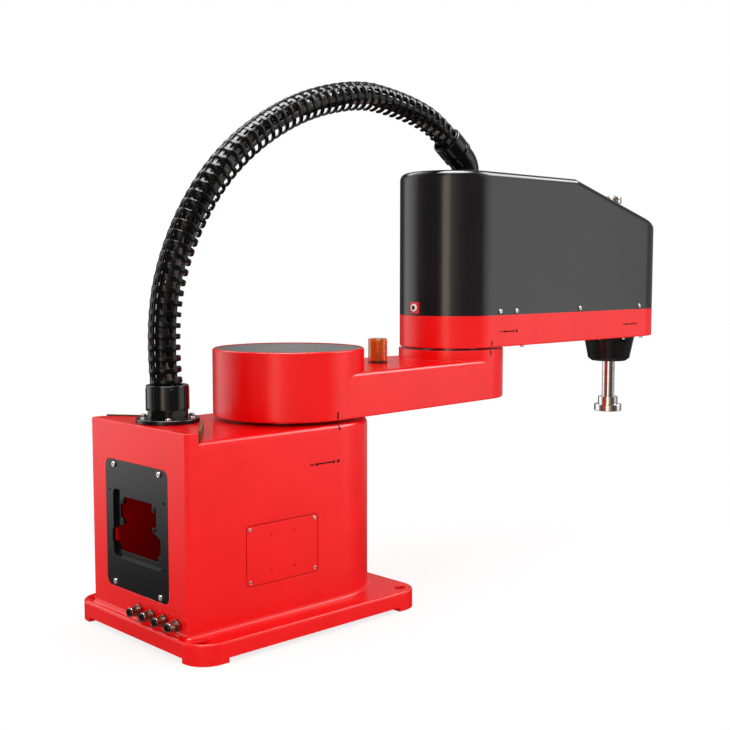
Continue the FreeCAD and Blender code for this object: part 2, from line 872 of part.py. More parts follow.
# First link
def link1_casting():
    hub = cyl(hub_r, hub_z0, hub_top)
    hub = round_edges(hub, hub_edge, lambda e: level(e, hub_top))
    hub = round_edges(hub, low_edge, lambda e: level(e, hub_z0))
    arm = arm_form(0, hub_r - arm_inset, link1_len, arm_end_r, hub_z0, arm_top)
    arm = round_edges(arm, arm_edge, lambda e: level(e, arm_top))
    arm = round_edges(arm, low_edge, lambda e: level(e, hub_z0))
    boss = cyl(arm_end_r, hub_z0 + 2, boss_top, link1_len)
    body = fuse([hub, arm, boss])
    core = arm_form(0, hub_r - l1_wall, link1_len, arm_end_r - l1_wall,
                    hub_z0 + l1_floor, arm_top - l1_wall)
    post = cyl(j2_ring_r + l1_wall, hub_z0, boss_top, link1_len)
    core = core.cut(post)
    well = cyl(hub_r - l1_wall, hub_z0 + l1_floor, hub_top - cap_t, 0)
    seat = cyl(hub_r - cap_rim, hub_top - cap_t - cap_sink, hub_top)
    body = cut(body, [core, well, seat])
    body = body.cut(cyl(j1_bore_r, hub_z0, hub_z0 + l1_floor))
    body = body.cut(cyl(j2_ring_r, hub_z0 + l1_floor, boss_top, link1_len))
    body = body.cut(cyl(lamp_core_d / 2, arm_top - l1_wall, arm_top, lamp_x))
    for x, y in hub_screw_places():
        body = body.cut(cyl(hub_screw_d / 2 + gap / 2, hub_z0, hub_z0 + l1_floor, x, y))
    return body


def hub_cap():
    body = cyl(hub_r - cap_rim - cap_fit / 2, hub_top - cap_t - cap_sink, hub_top - cap_sink)
    return round_edges(body, cap_edge, lambda e: level(e, hub_top - cap_sink))


# Joint 1 drive: a strain-wave set between column and hub
def j1_circular_spline():
    z1 = col_top + drive_gap
    z0 = col_top - j1_red_h
    body = ring(j1_red_r - fit_slack, j1_ring_in, z0, z1)
    z_roof = col_top - col_roof
    return fuse([body, ring(j1_red_r + j1_lip, j1_ring_in, z_roof - j1_lip_t, z_roof)])


def j1_flexspline():
    """A thin cup that ends in the flange under the hub."""
    z0 = col_top - j1_red_h + j1_cup_rise
    z_flange = col_top + drive_gap * 2
    wall = ring(j1_flex_r, j1_flex_r - j1_flex_wall, z0, z_flange + 1)
    return fuse([wall, ring(j1_ring_in + j1_flange_in, j1_bore_r, z_flange, hub_z0)])


def j1_output_bearing():
    return ring(j1_red_r - j1_bearing_out, j1_ring_in + j1_bearing_in, col_top + drive_gap, hub_z0 - gap)


def hub_screw_places():
    r = j1_ring_in - hub_screw_in
    turns = [2 * math.pi * (i + 0.5) / hub_screw_n for i in range(hub_screw_n)]
    return [(r * math.cos(a), r * math.sin(a)) for a in turns]


def hub_screws():
    return [cap_screw(hub_screw_head_d / 2, hub_screw_head_h, hub_screw_d / 2, l1_floor, x, y,
                      hub_z0 + l1_floor) for x, y in hub_screw_places()]


def j1_wave_generator():
    z0 = col_top - j1_red_h + j1_gen_rise
    cam = oval(j1_gen_long, j1_gen_short, z0, z0 + j1_cam_t)
    low = z0 - 2 * j1_cam_hub_more
    high = z0 + j1_cam_t + j1_cam_hub_more
    return fuse([cam, cyl(j1_cam_hub_r, low, high)]).cut(cyl(j1_shaft_bore, low, high))


def motor(w, h, z_face, x, sign):
    """A servo motor with its flange on z_face and its body above (1) or below it (-1)."""
    z_end = z_face + sign * h
    body = slab(x - w / 2, x + w / 2, -w / 2, w / 2, w * motor_corner,
                min(z_face, z_end), max(z_face, z_end))
    for share in motor_grooves:
        z = z_face + sign * h * share
        end = z + sign * motor_groove_w
        body = body.cut(ring(w, w * motor_groove_r, min(z, end), max(z, end), x))
    ends = sorted(z_end - sign * z for z in plug_z)
    plug = box(x + w / 2 - plug_in, x + w / 2 + plug_out, -w * plug_half, w * plug_half, *ends)
    return fuse([body, plug])


def j1_motor():
    z_face = col_top - j1_red_h - j1_cage_h
    cage = ring(j1_motor_w / 2 + j1_cage, j1_ring_in, z_face, col_top - j1_red_h)
    return fuse([motor(j1_motor_w, j1_motor_h, z_face, 0, -1), cage])


# Joint 2 drive
def j2_circular_spline():
    z0 = hub_z0 + l1_floor
    return ring(j2_ring_r - fit_slack, j2_ring_in, z0, boss_top - j2_out_h - gap, link1_len)


def j2_flexspline():
    """A thin cup hung from the second link, turned by the wave generator inside it."""
    z0 = hub_z0 + l1_floor + j2_cup_rise
    inner = j2_flex_r - j2_flex_wall
    wall = ring(j2_flex_r, inner, z0, l2_z0, link1_len)
    return fuse([wall, ring(j2_hub_r, inner, l2_z0 - j2_hub_t, l2_z0, link1_len)])


def j2_output_bearing():
    return ring(j2_ring_r - j2_bearing_slack, j2_hub_r + gap, boss_top - j2_out_h, boss_top, link1_len)


def j2_wave_generator():
    z0 = hub_z0 + l1_floor + j2_gen_rise
    cam = oval(j2_gen_long, j2_gen_short, z0, z0 + j2_cam_t, link1_len)
    return fuse([cam, cyl(j2_shaft_r, z0, l2_z0 + l2_floor - j2_bearing_slack, link1_len)])


def j2_motor():
    return motor(j2_motor_w, j2_motor_h, l2_z0 + l2_floor, link1_len, 1)


# Beacon lamp
def lamp_base():
    body = cyl(lamp_d / 2, arm_top, arm_top + lamp_base_h, lamp_x)
    stem = cyl(lamp_core_d / 2 - lamp_stem_gap, arm_top - l1_wall, arm_top, lamp_x)
    return fuse([body, stem])


def lamp_core():
    z0 = arm_top + lamp_base_h
    return cyl(lamp_core_d / 2, z0, lamp_top - lamp_core_drop, lamp_x)


def lamp_lens():
    z0 = arm_top + lamp_base_h
    body = cyl(lamp_d / 2, z0, lamp_top, lamp_x)
    body = round_edges(body, lamp_edge, lambda e: level(e, lamp_top))
    groove = ring(lamp_d, lamp_d / 2 - lamp_ring_deep, lamp_ring_z, lamp_ring_z + lamp_groove_w, lamp_x)
    body = body.cut(groove)
    return body.cut(cyl(lamp_d / 2 - lamp_wall, z0, lamp_top - lamp_roof, lamp_x))


# Second link
def link2_form(inset, z0, z1):
    return arm_form(link1_len, l2_r - inset, quill_x, l2_front_r - inset, z0, z1)


def link2_casting():
    body = link2_form(0, l2_z0, l2_z1)
    body = round_edges(body, low_edge, lambda e: level(e, l2_z0))
    body = body.cut(link2_form(l2_wall, l2_z0 + l2_floor, l2_z1))
    boss = cyl(sb_r + sb_wall, l2_z0, l2_z0 + l2_floor + sb_rise, quill_x)
    body = fuse([body, boss])
    body = body.cut(cyl(sb_r, sb_z0, sb_z0 + sb_t, quill_x))
    body = body.cut(cyl(sb_r - sb_ledge, l2_z0, l2_z0 + l2_floor + sb_rise + 1, quill_x))
    body = body.cut(cyl(j2_flex_r - j2_flex_wall - 6, l2_z0, l2_z0 + l2_floor, link1_len))
    for x in post_x:
        for y in (-post_y, post_y):
            body = body.cut(cyl(post_r * 0.5, l2_z0 + l2_floor - post_pin, l2_z0 + l2_floor, x, y))
    for x, y in under_screw_places():
        body = body.cut(cyl(under_hole_d / 2, l2_z0, l2_z0 + under_screw_len, x, y))
    return body


def under_screw_places():
    """Screws in the side walls, from below."""
    out = []
    for x in under_screw_x:
        for side in (-1, 1):
            at, normal = cover_wall_point(x, side)
            out.append((at.x - normal.x * under_screw_in, at.y - normal.y * under_screw_in))
    return out


def under_screws():
    out = []
    for x, y in under_screw_places():
        head = cyl(under_screw_d / 2, l2_z0 - under_screw_h, l2_z0, x, y)
        socket = hexagon(under_screw_d * 0.5, l2_z0 - under_screw_h, l2_z0 - under_screw_h / 2, x, y)
        shank = cyl(under_hole_d / 2 - 0.1, l2_z0, l2_z0 + under_screw_len, x, y)
        out.append(fuse([head.cut(socket), shank]))
    return out


def cover_outline(inset):
    """The cover as a solid: the arm form cut by the sloping front."""
    body = link2_form(inset, l2_z1, cov_top - inset)
    drop = math.tan(math.radians(cov_slope))
    far = quill_x + l2_front_r + 10
    low = inset / math.cos(math.radians(cov_slope))
    top = cov_top - low
    x0 = quill_x - cov_slope_run
    side = 2 * l2_r
    pts = [V(x0, -side, top), V(far, -side, top - (far - x0) * drop),
           V(far, -side, top + side), V(x0, -side, top + side)]
    wedge = Part.Face(Part.makePolygon(pts + pts[:1])).extrude(V(0, 2 * side, 0))
    return body.cut(wedge)


def link2_cover():
    outer = cover_outline(0)
    outer = round_edges(outer, cov_edge,
                        lambda e: e.BoundBox.ZMin > l2_z1 + 20
                        and not (abs(e.BoundBox.XLength) < 0.01 and e.BoundBox.YLength > 20)
                        and not upright(e))
    body = outer.cut(cover_outline(cov_wall))
    body = body.cut(cyl(cov_hole_r, l2_z1 + 60, cov_top, quill_x))
    body = body.cut(cyl(el_d / 2 - el_stub_step + el_stub_gap, cov_top - cov_wall - 2, cov_top, el_x))
    body = body.cut(rod_x(but_r + but_gap + barrel_wall + 0.2, link1_len - l2_r - 5,
                          link1_len - l2_r + 8, 0, but_z))
    for x in cov_screw_x:
        for side in (-1, 1):
            at, out = cover_wall_point(x, side)
            body = body.cut(Part.makeCylinder(wall_hole_d / 2, 8, at - out * 7, out))
    return body


def cover_wall_point(x, side):
    """A point on the flat side wall at x, just above the parting line."""
    turn = math.asin((l2_r - l2_front_r) / link2_len)
    out = V(math.sin(turn), side * math.cos(turn), 0)
    foot = V(link1_len, 0, 0) + out * l2_r
    along = V(math.cos(turn), -side * math.sin(turn), 0)
    at = foot + along * ((x - foot.x) / along.x)
    return V(at.x, at.y, l2_z1 + cov_screw_rise), out


def cover_screws():
    out = []
    for x in cov_screw_x:
        for side in (-1, 1):
            at, normal = cover_wall_point(x, side)
            out.append(wall_screw(cov_screw_d / 2, cov_screw_h, wall_hole_d / 2 - cov_screw_gap,
                                  cov_wall, at, normal))
    return out


# Quill, nuts and pulleys
def quill():
    body = ring(quill_r, quill_bore, quill_z0, quill_z1, quill_x)
    for i in range(3):
        a = math.radians(120 * i + 30)
        x = quill_x + (quill_r + groove_out) * math.cos(a)
        y = (quill_r + groove_out) * math.sin(a)
        body = body.cut(cyl(groove_r, quill_z0 + tool_t + clamp_t, stop_z0, x, y))
    return round_edges(body, quill_edge, lambda e: level(e, quill_z1) and e.Length > 40)


def clamp_screw(z):
    """The screw that closes the flange's slit, at mid-wall of the clamp."""
    return rod_x(clamp_screw_r, quill_x - clamp_screw_half, quill_x + clamp_screw_half,
                 -(quill_r + clamp_r) / 2, z)


def clamp_screw_z():
    return quill_z0 + tool_t + clamp_t / 2 + 0.5


def tool_flange():
    z0 = quill_z0
    z1 = z0 + tool_t
    z2 = z1 + clamp_t
    flange = cyl(tool_r, z0, z1, quill_x)
    flange = round_edges(flange, tool_edge, lambda e: level(e, z0) or level(e, z1))
    body = fuse([flange, cyl(clamp_r, z1, z2, quill_x)])
    body = body.cut(cyl(quill_r + 0.02, z0, z2, quill_x))
    slit = box(quill_x - clamp_slit / 2, quill_x + clamp_slit / 2, -clamp_r - 1, -quill_r + 1,
               z1 + 1, z2)
    body = body.cut(slit)
    body = body.cut(clamp_screw(clamp_screw_z()))
    for i in range(4):
        a = math.radians(90 * i + 45)
        body = body.cut(cyl(tool_hole_d / 2, z0, z1, quill_x + tool_pcd / 2 * math.cos(a),
                            tool_pcd / 2 * math.sin(a)))
    return body.cut(cyl(tool_pin_d / 2, z0, z1, quill_x + tool_pcd / 2, 0))


def flange_screw():
    z = clamp_screw_z()
    return clamp_screw(z).common(cyl(clamp_r - 0.3, z - 5, z + 5, quill_x))


def stop_collar():
    """A clamp collar: slit on one side, with a cross hole for its screw."""
    z1 = stop_z0 + stop_t
    body = ring(stop_r, quill_r + 0.02, stop_z0, z1, quill_x)
    body = round_edges(body, 0.6, lambda e: e.Length > 80)
    slit = box(quill_r - 1, stop_r + 1, -clamp_slit / 2, clamp_slit / 2, stop_z0, z1)
    slit.rotate(V(0, 0, 0), UP, stop_slit_turn)
    slit.translate(V(quill_x, 0, 0))
    at = math.radians(stop_screw_turn)
    along = math.radians(stop_slit_turn + 90)
    mouth = V(quill_x + stop_r * math.cos(at), stop_r * math.sin(at), stop_z0 + stop_t / 2)
    inward = V(math.cos(along), math.sin(along), 0)
    hole = Part.makeCylinder(stop_screw_d / 2, stop_r + 3, mouth - inward * 4, inward)
    return cut(body, [slit, hole])


def spline_nut():
    return ring(nut_r, quill_r + nut_bore_gap, spline_z0, spline_z1, quill_x)


def spline_bearing():
    return ring(sb_r - fit_slack, nut_r + fit_slack, sb_z0, sb_z0 + sb_t, quill_x)


def toothed(r, bore, z0, z1, x, teeth):
    body = ring(r, bore, z0, z1, x)
    notch_r = math.pi * r / teeth * notch_share
    turns = [2 * math.pi * i / teeth for i in range(teeth)]
    cuts = [cyl(notch_r, z0 + tooth_rim, z1 - tooth_rim, x + r * math.cos(a), r * math.sin(a))
            for a in turns]
    return body.cut(Part.makeCompound(cuts))


def belt(x_motor, r_motor, r_driven, z0, z1):
    inner = belt_gap
    outer = belt_gap + belt_t
    return mirrored_form(x_motor, r_motor + outer, r_driven + outer, z0, z1).cut(
        mirrored_form(x_motor, r_motor + inner, r_driven + inner, z0, z1))


def mirrored_form(x_motor, r_motor, r_driven, z0, z1):
    body = arm_form(0, r_driven, quill_x - x_motor, r_motor, z0, z1)
    body.rotate(V(0, 0, 0), UP, 180)
    body.translate(V(quill_x, 0, 0))
    return body


def spline_pulley():
    return toothed(sp_r, quill_r + 2, spline_z1, spline_z1 + sp_t, quill_x, sp_teeth)


def ball_nut():
    return ring(nut_r, quill_r + nut_bore_gap, bn_z0, bn_z1, quill_x)


def ball_nut_pulley():
    return toothed(bp_r, nut_r + 0.05, bn_z0, bn_z0 + bp_t, quill_x, bp_teeth)


def ball_nut_bearing():
    return ring(bb_r - fit_slack, nut_r + fit_slack, dp_z0, dp_z0 + dp_t, quill_x)


# Drive plate, posts and motors
def drive_plate():
    half = dp_w / 2
    body = slab(dp_x0, dp_x1, -half, half, dp_corner, dp_z0, dp_z0 + dp_t)
    body = body.cut(cyl(bb_r, dp_z0, dp_z0 + dp_t, quill_x))
    body = body.cut(cyl(m3_w * dp_motor_share, dp_z0, dp_z0 + dp_t, m3_x))
    body = body.cut(cyl(m4_w * dp_motor_share, dp_z0, dp_z0 + dp_t, m4_x))
    window = slab(m4_x + m4_w / 2 + window_rear, quill_x - bb_r - window_front, -half + window_side,
                  half - window_side, window_r, dp_z0, dp_z0 + dp_t)
    return body.cut(window)


def drive_posts():
    out = []
    for x in post_x:
        for y in (-post_y, post_y):
            body = hexagon(post_r * 1.8, l2_z0 + l2_floor, dp_z0, x, y)
            pin = cyl(post_r * 0.48, l2_z0 + l2_floor - post_pin, l2_z0 + l2_floor, x, y)
            out.append(fuse([body, pin]))
    return out


def motor_pulley(r, z0, z1, x, teeth):
    wheel = toothed(r, m_shaft_r, z0, z1, x, teeth)
    shaft = cyl(m_shaft_r, z0 - 1, dp_z0 + dp_t - 1, x)
    return fuse([wheel, shaft])


# Cone round the quill
def cone_screw_places():
    turns = [math.radians(cone_screw_turn + 360 * i / cone_screw_n) for i in range(cone_screw_n)]
    return [(quill_x + cone_screw_r * math.cos(a), cone_screw_r * math.sin(a)) for a in turns]


def cone_profile(inset, z_top):
    """Half section of the cone, from its tip up to the casting."""
    pts = [(0, cone_z0 + inset), (cone_tip_r - inset, cone_z0 + inset),
           (cone_low_r - inset, cone_z0 + cone_chamfer + inset * 0.4),
           (cone_top_r - inset, z_top), (0, z_top)]
    wire = Part.makePolygon([V(quill_x + r, 0, z) for r, z in pts + pts[:1]])
    return Part.Face(wire).revolve(V(quill_x, 0, 0), UP, 360)


def bottom_cone():
    body = cone_profile(0, l2_z0).cut(cone_profile(cone_wall, l2_z0))
    lip = ring(cone_top_r, sb_r + 2, l2_z0 - cone_lip, l2_z0, quill_x)
    body = fuse([body, lip])
    body = body.cut(cyl(nut_r + 2, cone_z0, cone_z0 + cone_wall + 1, quill_x))
    for x, y in cone_screw_places():
        body = body.cut(cyl(cone_pocket_d / 2, l2_z0 - cone_lip - 6, l2_z0 - cone_lip, x, y))
    return body


def cone_screws():
    z1 = l2_z0 - cone_lip
    return [cyl(cone_screw_d / 2, z1 - cone_screw_h, z1, x, y) for x, y in cone_screw_places()]


# Brake release button
def brake_bezel():
    """Square front plate with the barrel that guides button and spring."""
    x_wall = link1_len - l2_r
    body = box(x_wall - bez_t, x_wall + 4, -bez_w / 2, bez_w / 2, but_z - bez_h / 2, but_z + bez_h / 2)
    body = body.cut(link2_form(-0.02, l2_z1, but_z + 20))
    x_end = x_wall + barrel_len
    barrel = rod_x(but_r + but_gap + barrel_wall, x_wall - bez_t, x_end, 0, but_z)
    body = fuse([body, barrel])
    return body.cut(rod_x(but_r + but_gap, x_wall - bez_t - 1, x_end - barrel_floor, 0, but_z))


def button_front():
    return link1_len - l2_r - bez_t - but_rise


def brake_button():
    x0 = button_front()
    body = rod_x(but_r, x0, x0 + but_len, 0, but_z)
    body = round_edges(body, 0.6, lambda e: abs(e.CenterOfMass.x - x0) < 0.01)
    return body.cut(rod_x(but_r * 0.45, x0, x0 + 0.6, 0, but_z))


def brake_spring():
    """A wire spring between the button and the barrel's floor."""
    x0 = button_front() + but_len + spring_wire
    x1 = link1_len - l2_r + barrel_len - barrel_floor - spring_wire
    helix = Part.makeHelix((x1 - x0) / spring_turns, x1 - x0, spring_r)
    section = Part.Wire([Part.makeCircle(spring_wire, V(spring_r, 0, 0), V(0, 1, 0))])
    coil = Part.Wire(helix.Edges).makePipeShell([section], True, True)
    coil.rotate(V(0, 0, 0), V(0, 1, 0), 90)
    coil.translate(V(x0, 0, but_z))
    return coil


def main():
    os.makedirs("parts", exist_ok=True)
    save("base_casting", [base_casting()])
    save("pad_seals", pad_seals())
    save("bottom_cover", [bottom_cover()])
    save("rear_panel", [rear_panel()])
    save("rear_panel_screws", rear_panel_screws())
    save("side_cover", [side_cover()])
    save("side_cover_screws", side_cover_screws())
    save("air_fittings", [air_fitting(y) for y in fitting_places()])
    save("fitting_rings", [fitting_ring(y) for y in fitting_places()])
    save("conduit_gland", [conduit_gland()])
    save("gland_screws", gland_screws())
    save("j1_motor", [j1_motor()])
    save("j1_circular_spline", [j1_circular_spline()])
    save("j1_output_bearing", [j1_output_bearing()])
    save("j1_wave_generator", [j1_wave_generator()])
    save("link1_casting", [link1_casting()])
    save("hub_cap", [hub_cap()])
    save("j1_flexspline", [j1_flexspline()])
    save("hub_screws", hub_screws())
    save("lamp_base", [lamp_base()])
    save("lamp_core", [lamp_core()])
    save("lamp_lens", [lamp_lens()])
    save("j2_circular_spline", [j2_circular_spline()])
    save("j2_output_bearing", [j2_output_bearing()])
    save("j2_flexspline", [j2_flexspline()])
    save("j2_wave_generator", [j2_wave_generator()])
    save("j2_motor", [j2_motor()])
    save("link2_casting", [link2_casting()])
    save("under_screws", under_screws())
    save("link2_cover", [link2_cover()])
    save("cover_screws", cover_screws())
    save("drive_plate", [drive_plate()])
    save("drive_posts", drive_posts())
    z_motor = dp_z0 + dp_t
    save("j3_motor", [motor(m3_w, m3_h, z_motor, m3_x, 1)])
    save("j4_motor", [motor(m4_w, m4_h, z_motor, m4_x, 1)])
    save("j3_motor_pulley", [motor_pulley(mp3_r, bn_z0, bn_z0 + bp_t, m3_x, mp3_teeth)])
    save("j4_motor_pulley", [motor_pulley(mp4_r, spline_z1, spline_z1 + sp_t, m4_x, mp4_teeth)])
    save("j3_belt", [belt(m3_x, mp3_r, bp_r, bn_z0 + belt_rim, bn_z0 + bp_t - belt_rim)])
    save("j4_belt", [belt(m4_x, mp4_r, sp_r, spline_z1 + belt_rim, spline_z1 + sp_t - belt_rim)])
    save("spline_bearing", [spline_bearing()])
    save("spline_nut", [spline_nut()])
    save("spline_pulley", [spline_pulley()])
    save("ball_nut_bearing", [ball_nut_bearing()])
    save("ball_nut", [ball_nut()])
    save("ball_nut_pulley", [ball_nut_pulley()])
    save("quill", [quill()])
    save("tool_flange", [tool_flange()])
    save("flange_screw", [flange_screw()])
    save("stop_collar", [stop_collar()])
    save("bottom_cone", [bottom_cone()])
    save("cone_screws", cone_screws())
    save("brake_bezel", [brake_bezel()])
    save("brake_button", [brake_button()])
    save("brake_spring", [brake_spring()])
    save("conduit_elbow", [elbow()])
    save("elbow_collar", [upper_collar()])
    lower, upper = split_path()
    save("conduit_lower", [conduit_piece(lower, "conduit lower")])
    save("conduit_upper", [conduit_piece(upper, "conduit upper")])


main()
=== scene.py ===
import bisect
import json
import math

import bmesh
import bpy
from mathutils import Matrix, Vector

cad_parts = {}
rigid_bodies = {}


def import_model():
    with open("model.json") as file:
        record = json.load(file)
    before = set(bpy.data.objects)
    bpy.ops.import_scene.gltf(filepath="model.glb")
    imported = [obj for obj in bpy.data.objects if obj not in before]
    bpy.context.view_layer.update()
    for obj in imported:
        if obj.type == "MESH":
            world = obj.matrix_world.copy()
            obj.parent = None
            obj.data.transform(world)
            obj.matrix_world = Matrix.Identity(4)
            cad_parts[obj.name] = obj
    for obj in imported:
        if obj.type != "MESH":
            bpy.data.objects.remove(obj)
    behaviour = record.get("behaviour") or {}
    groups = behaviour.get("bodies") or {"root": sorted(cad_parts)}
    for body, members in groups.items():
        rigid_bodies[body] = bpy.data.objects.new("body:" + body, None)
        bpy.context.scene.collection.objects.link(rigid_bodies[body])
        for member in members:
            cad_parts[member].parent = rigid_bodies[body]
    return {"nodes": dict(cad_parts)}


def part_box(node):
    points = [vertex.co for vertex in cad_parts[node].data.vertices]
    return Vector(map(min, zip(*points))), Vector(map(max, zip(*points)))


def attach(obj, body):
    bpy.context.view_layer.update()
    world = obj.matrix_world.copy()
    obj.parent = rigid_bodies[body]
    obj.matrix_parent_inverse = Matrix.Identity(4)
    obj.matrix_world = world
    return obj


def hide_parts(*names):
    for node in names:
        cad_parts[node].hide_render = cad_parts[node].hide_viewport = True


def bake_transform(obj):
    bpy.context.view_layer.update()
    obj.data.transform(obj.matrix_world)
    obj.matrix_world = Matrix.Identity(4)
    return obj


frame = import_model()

for start_up in [o for o in bpy.data.objects if o.name in ("Cube", "Light", "Camera")]:
    bpy.data.objects.remove(start_up)
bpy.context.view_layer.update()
nodes = frame["nodes"]

# Surfaces
# Each is a shader whose colour, gloss and fine relief drift with the place on the piece.
tone_span = (0.25, 0.75)
haze_span = (0.2, 0.8)
haze_to_mottle = 0.37
bevel_samples = 6


def linear(hex_colour):
    """The shader's colour for an sRGB hex value."""
    parts = [int(hex_colour[i:i + 2], 16) / 255 for i in (1, 3, 5)]
    return [c / 12.92 if c <= 0.04045 else ((c + 0.055) / 1.055) ** 2.4 for c in parts] + [1.0]


def add(tree, kind, settings=None, links=None):
    """Adds a node; settings are its values and links say what feeds its inputs."""
    made = tree.nodes.new(kind)
    for key, value in (settings or {}).items():
        if isinstance(key, int) or key in made.inputs:
            made.inputs[key].default_value = value
        else:
            setattr(made, key, value)
    for key, source in (links or {}).items():
        tree.links.new(source, made.inputs[key])
    return made


def finish(name, colour, second, roughness, spread=0.04, mottle=0.03, relief=(), stretch=(1, 1, 1),
           centre=(0, 0, 0), edge=0.0004, **shader):
    """A surface that drifts between two colours and by spread in roughness.

    mottle is the size of its patches, relief lists the size and height of its waves, and edge
    is how far its sharp edges are worn. Sizes are in metres.
    """
    made = bpy.data.materials.new(name)
    made.use_nodes = True
    tree = made.node_tree
    body = tree.nodes["Principled BSDF"]
    for key, value in shader.items():
        body.inputs[key.replace("_", " ")].default_value = value
    place = add(tree, "ShaderNodeTexCoord")
    spot = add(tree, "ShaderNodeMapping",
               {"Location": [-c * s for c, s in zip(centre, stretch)], "Scale": stretch},
               {"Vector": place.outputs["Object"]}).outputs["Vector"]
    cloud = add(tree, "ShaderNodeTexNoise", {"Scale": 1 / mottle, "Detail": 3.0}, {"Vector": spot})
    tone = add(tree, "ShaderNodeMapRange",
               {1: tone_span[0], 2: tone_span[1], "interpolation_type": "SMOOTHSTEP"},
               {0: cloud.outputs["Fac"]})
    mix = add(tree, "ShaderNodeMix", {"data_type": "RGBA", 6: linear(colour), 7: linear(second)},
              {0: tone.outputs[0]})
    tree.links.new(mix.outputs[2], body.inputs["Base Color"])
    haze = add(tree, "ShaderNodeTexNoise", {"Scale": haze_to_mottle / mottle, "Detail": 2.0},
               {"Vector": spot})
    gloss = add(tree, "ShaderNodeMapRange",
                {1: haze_span[0], 2: haze_span[1], 3: roughness - spread, 4: roughness + spread,
                 "interpolation_type": "SMOOTHSTEP"},
                {0: haze.outputs["Fac"]})
    tree.links.new(gloss.outputs[0], body.inputs["Roughness"])
    normal = add(tree, "ShaderNodeBevel", {"samples": bevel_samples, "Radius": edge}).outputs[0]
    for size, height in relief:
        wave = add(tree, "ShaderNodeTexNoise", {"Scale": 1 / size, "Detail": 1.0}, {"Vector": spot})
        normal = add(tree, "ShaderNodeBump", {"Strength": 1.0, "Distance": height},
                     {"Height": wave.outputs["Fac"], "Normal": normal}).outputs[0]
    tree.links.new(normal, body.inputs["Normal"])
    return made


def dress(material, *names):
    """Gives CAD nodes a material."""
    for name in names:
        mesh = nodes[name].data
        mesh.materials.clear()
        mesh.materials.append(material)


# Base casting
# The foot and column are one aluminium sand casting, machined on its faces and
# finished all over, inside too, with a satin red polyester powder coat. The coat has an
# orange peel of 2 to 4 mm waves, drawn at 4 mm so that it shows, and broad, soft highlights.
red_powder = finish("red_powder_coat", "#E80A0C", "#E10708", 0.24, 0.025, 0.06,
                    [(0.004, 0.00002)], edge=0.0008, Specular_IOR_Level=0.4)
dress(red_powder, "base_casting", "bottom_cover")

# Seals of the raised pad
# Two strips along the pad's slanted sides. Their dark olive brown is partly the strip's own brown
# and partly painted shade of the pad's step wall; it is rough and blotchy, with a fine relief.
seal_step_shade = finish("brown_seal_painted_step_shade", "#6B4A12", "#33301A", 0.7, 0.08, 0.0025, [(0.0015, 0.0004)])
dress(seal_step_shade, "pad_seals")

# Rear connector panel
# A folded and drawn steel panel with a sunken tray for the connector insert, held by four
# button-head screws. Black powder coat with a fine texture.
black_powder = finish("black_powder_coat", "#080708", "#0D0C0C", 0.18, 0.03, 0.04,
                      [(0.0025, 0.00001)], edge=0.0006, Specular_IOR_Level=0.42)
dress(black_powder, "rear_panel")

# Stainless A2 screws: cold-headed, bare and slightly dull.
stainless = finish("stainless_screw", "#F2F0ED", "#E2DFDC", 0.16, 0.04, 0.003,
                   [(0.0012, 0.000004)], Metallic=1.0)
dress(stainless, "rear_panel_screws", "side_cover_screws", "gland_screws", "hub_screws",
      "cover_screws", "cone_screws", "flange_screw", "under_screws")

# Side access cover
# A flat steel plate set flush in the casting, coated with the casting's red but smoother,
# because sheet has no casting skin.
red_sheet = finish("red_powder_coat_on_sheet", "#E60A0C", "#E10809", 0.23, 0.02, 0.08,
                   [(0.004, 0.000012)], Specular_IOR_Level=0.4)
dress(red_sheet, "side_cover")

# Air fittings
# Push-in fittings for 6 mm hose: nickel-plated brass bodies with black release rings.
# Nickel is a warm grey mirror, with slow waves from turning.
nickel = finish("nickel_plated_brass", "#B0A49A", "#8C8076", 0.07, 0.02, 0.004,
                [(0.003, 0.000006)], Metallic=1.0)
dress(nickel, "air_fittings")
acetal = finish("black_acetal", "#141414", "#1C1B1B", 0.34, 0.05, 0.006, [(0.002, 0.00001)])
dress(acetal, "fitting_rings")

# Conduit gland, elbow and its collar
# Glass-filled nylon, injection moulded. The skin is glossy with faint flow marks.
nylon = finish("glass_filled_nylon", "#080809", "#0E0E0F", 0.16, 0.05, 0.012,
               [(0.006, 0.00003), (0.0015, 0.000004)], edge=0.0005)
dress(nylon, "conduit_gland", "conduit_elbow", "elbow_collar")

# Joint drives
# Ground bearing steel for splines and bearings, machined aluminium for the wave
# generators' hubs, and black-lacquered motors.
ground_steel = finish("ground_steel", "#B9B9BB", "#9FA0A3", 0.2, 0.05, 0.01,
                      [(0.0012, 0.000012)], (1, 1, 6), Metallic=1.0)
dress(ground_steel, "j1_circular_spline", "j1_flexspline", "j1_wave_generator",
      "j2_circular_spline", "j2_flexspline", "j2_wave_generator", "spline_bearing",
      "ball_nut_bearing", "spline_nut", "ball_nut", "brake_spring")
# The joints' output bearings get a near-black colour as painted shade, so the gaps between the
# links stay dark.
gap_shade_steel = finish("bearing_steel_painted_gap_shade", "#241C1C", "#181313", 0.35, 0.05, 0.01,
               [(0.0012, 0.00001)], (1, 1, 6), Metallic=1.0)
dress(gap_shade_steel, "j1_output_bearing", "j2_output_bearing")
motor_lacquer = finish("black_motor_lacquer", "#18181A", "#202022", 0.42, 0.08, 0.02,
                       [(0.002, 0.00002)])
dress(motor_lacquer, "j1_motor", "j2_motor", "j3_motor", "j4_motor")

# First link
# A second casting with the first joint's hub and the arm in one, coated like the base.
dress(red_powder, "link1_casting", "link2_casting")

# The cap in the hub's rim is a rolled aluminium disc with a clear satin anodised skin.
# Its rolling lines run one way and soften what it mirrors.
anodised = finish("satin_anodised_aluminium", "#62605F", "#585656", 0.17, 0.03, 0.02,
                  [(0.003, 0.000006)], (1, 9, 1), Metallic=0.9)
dress(anodised, "hub_cap")

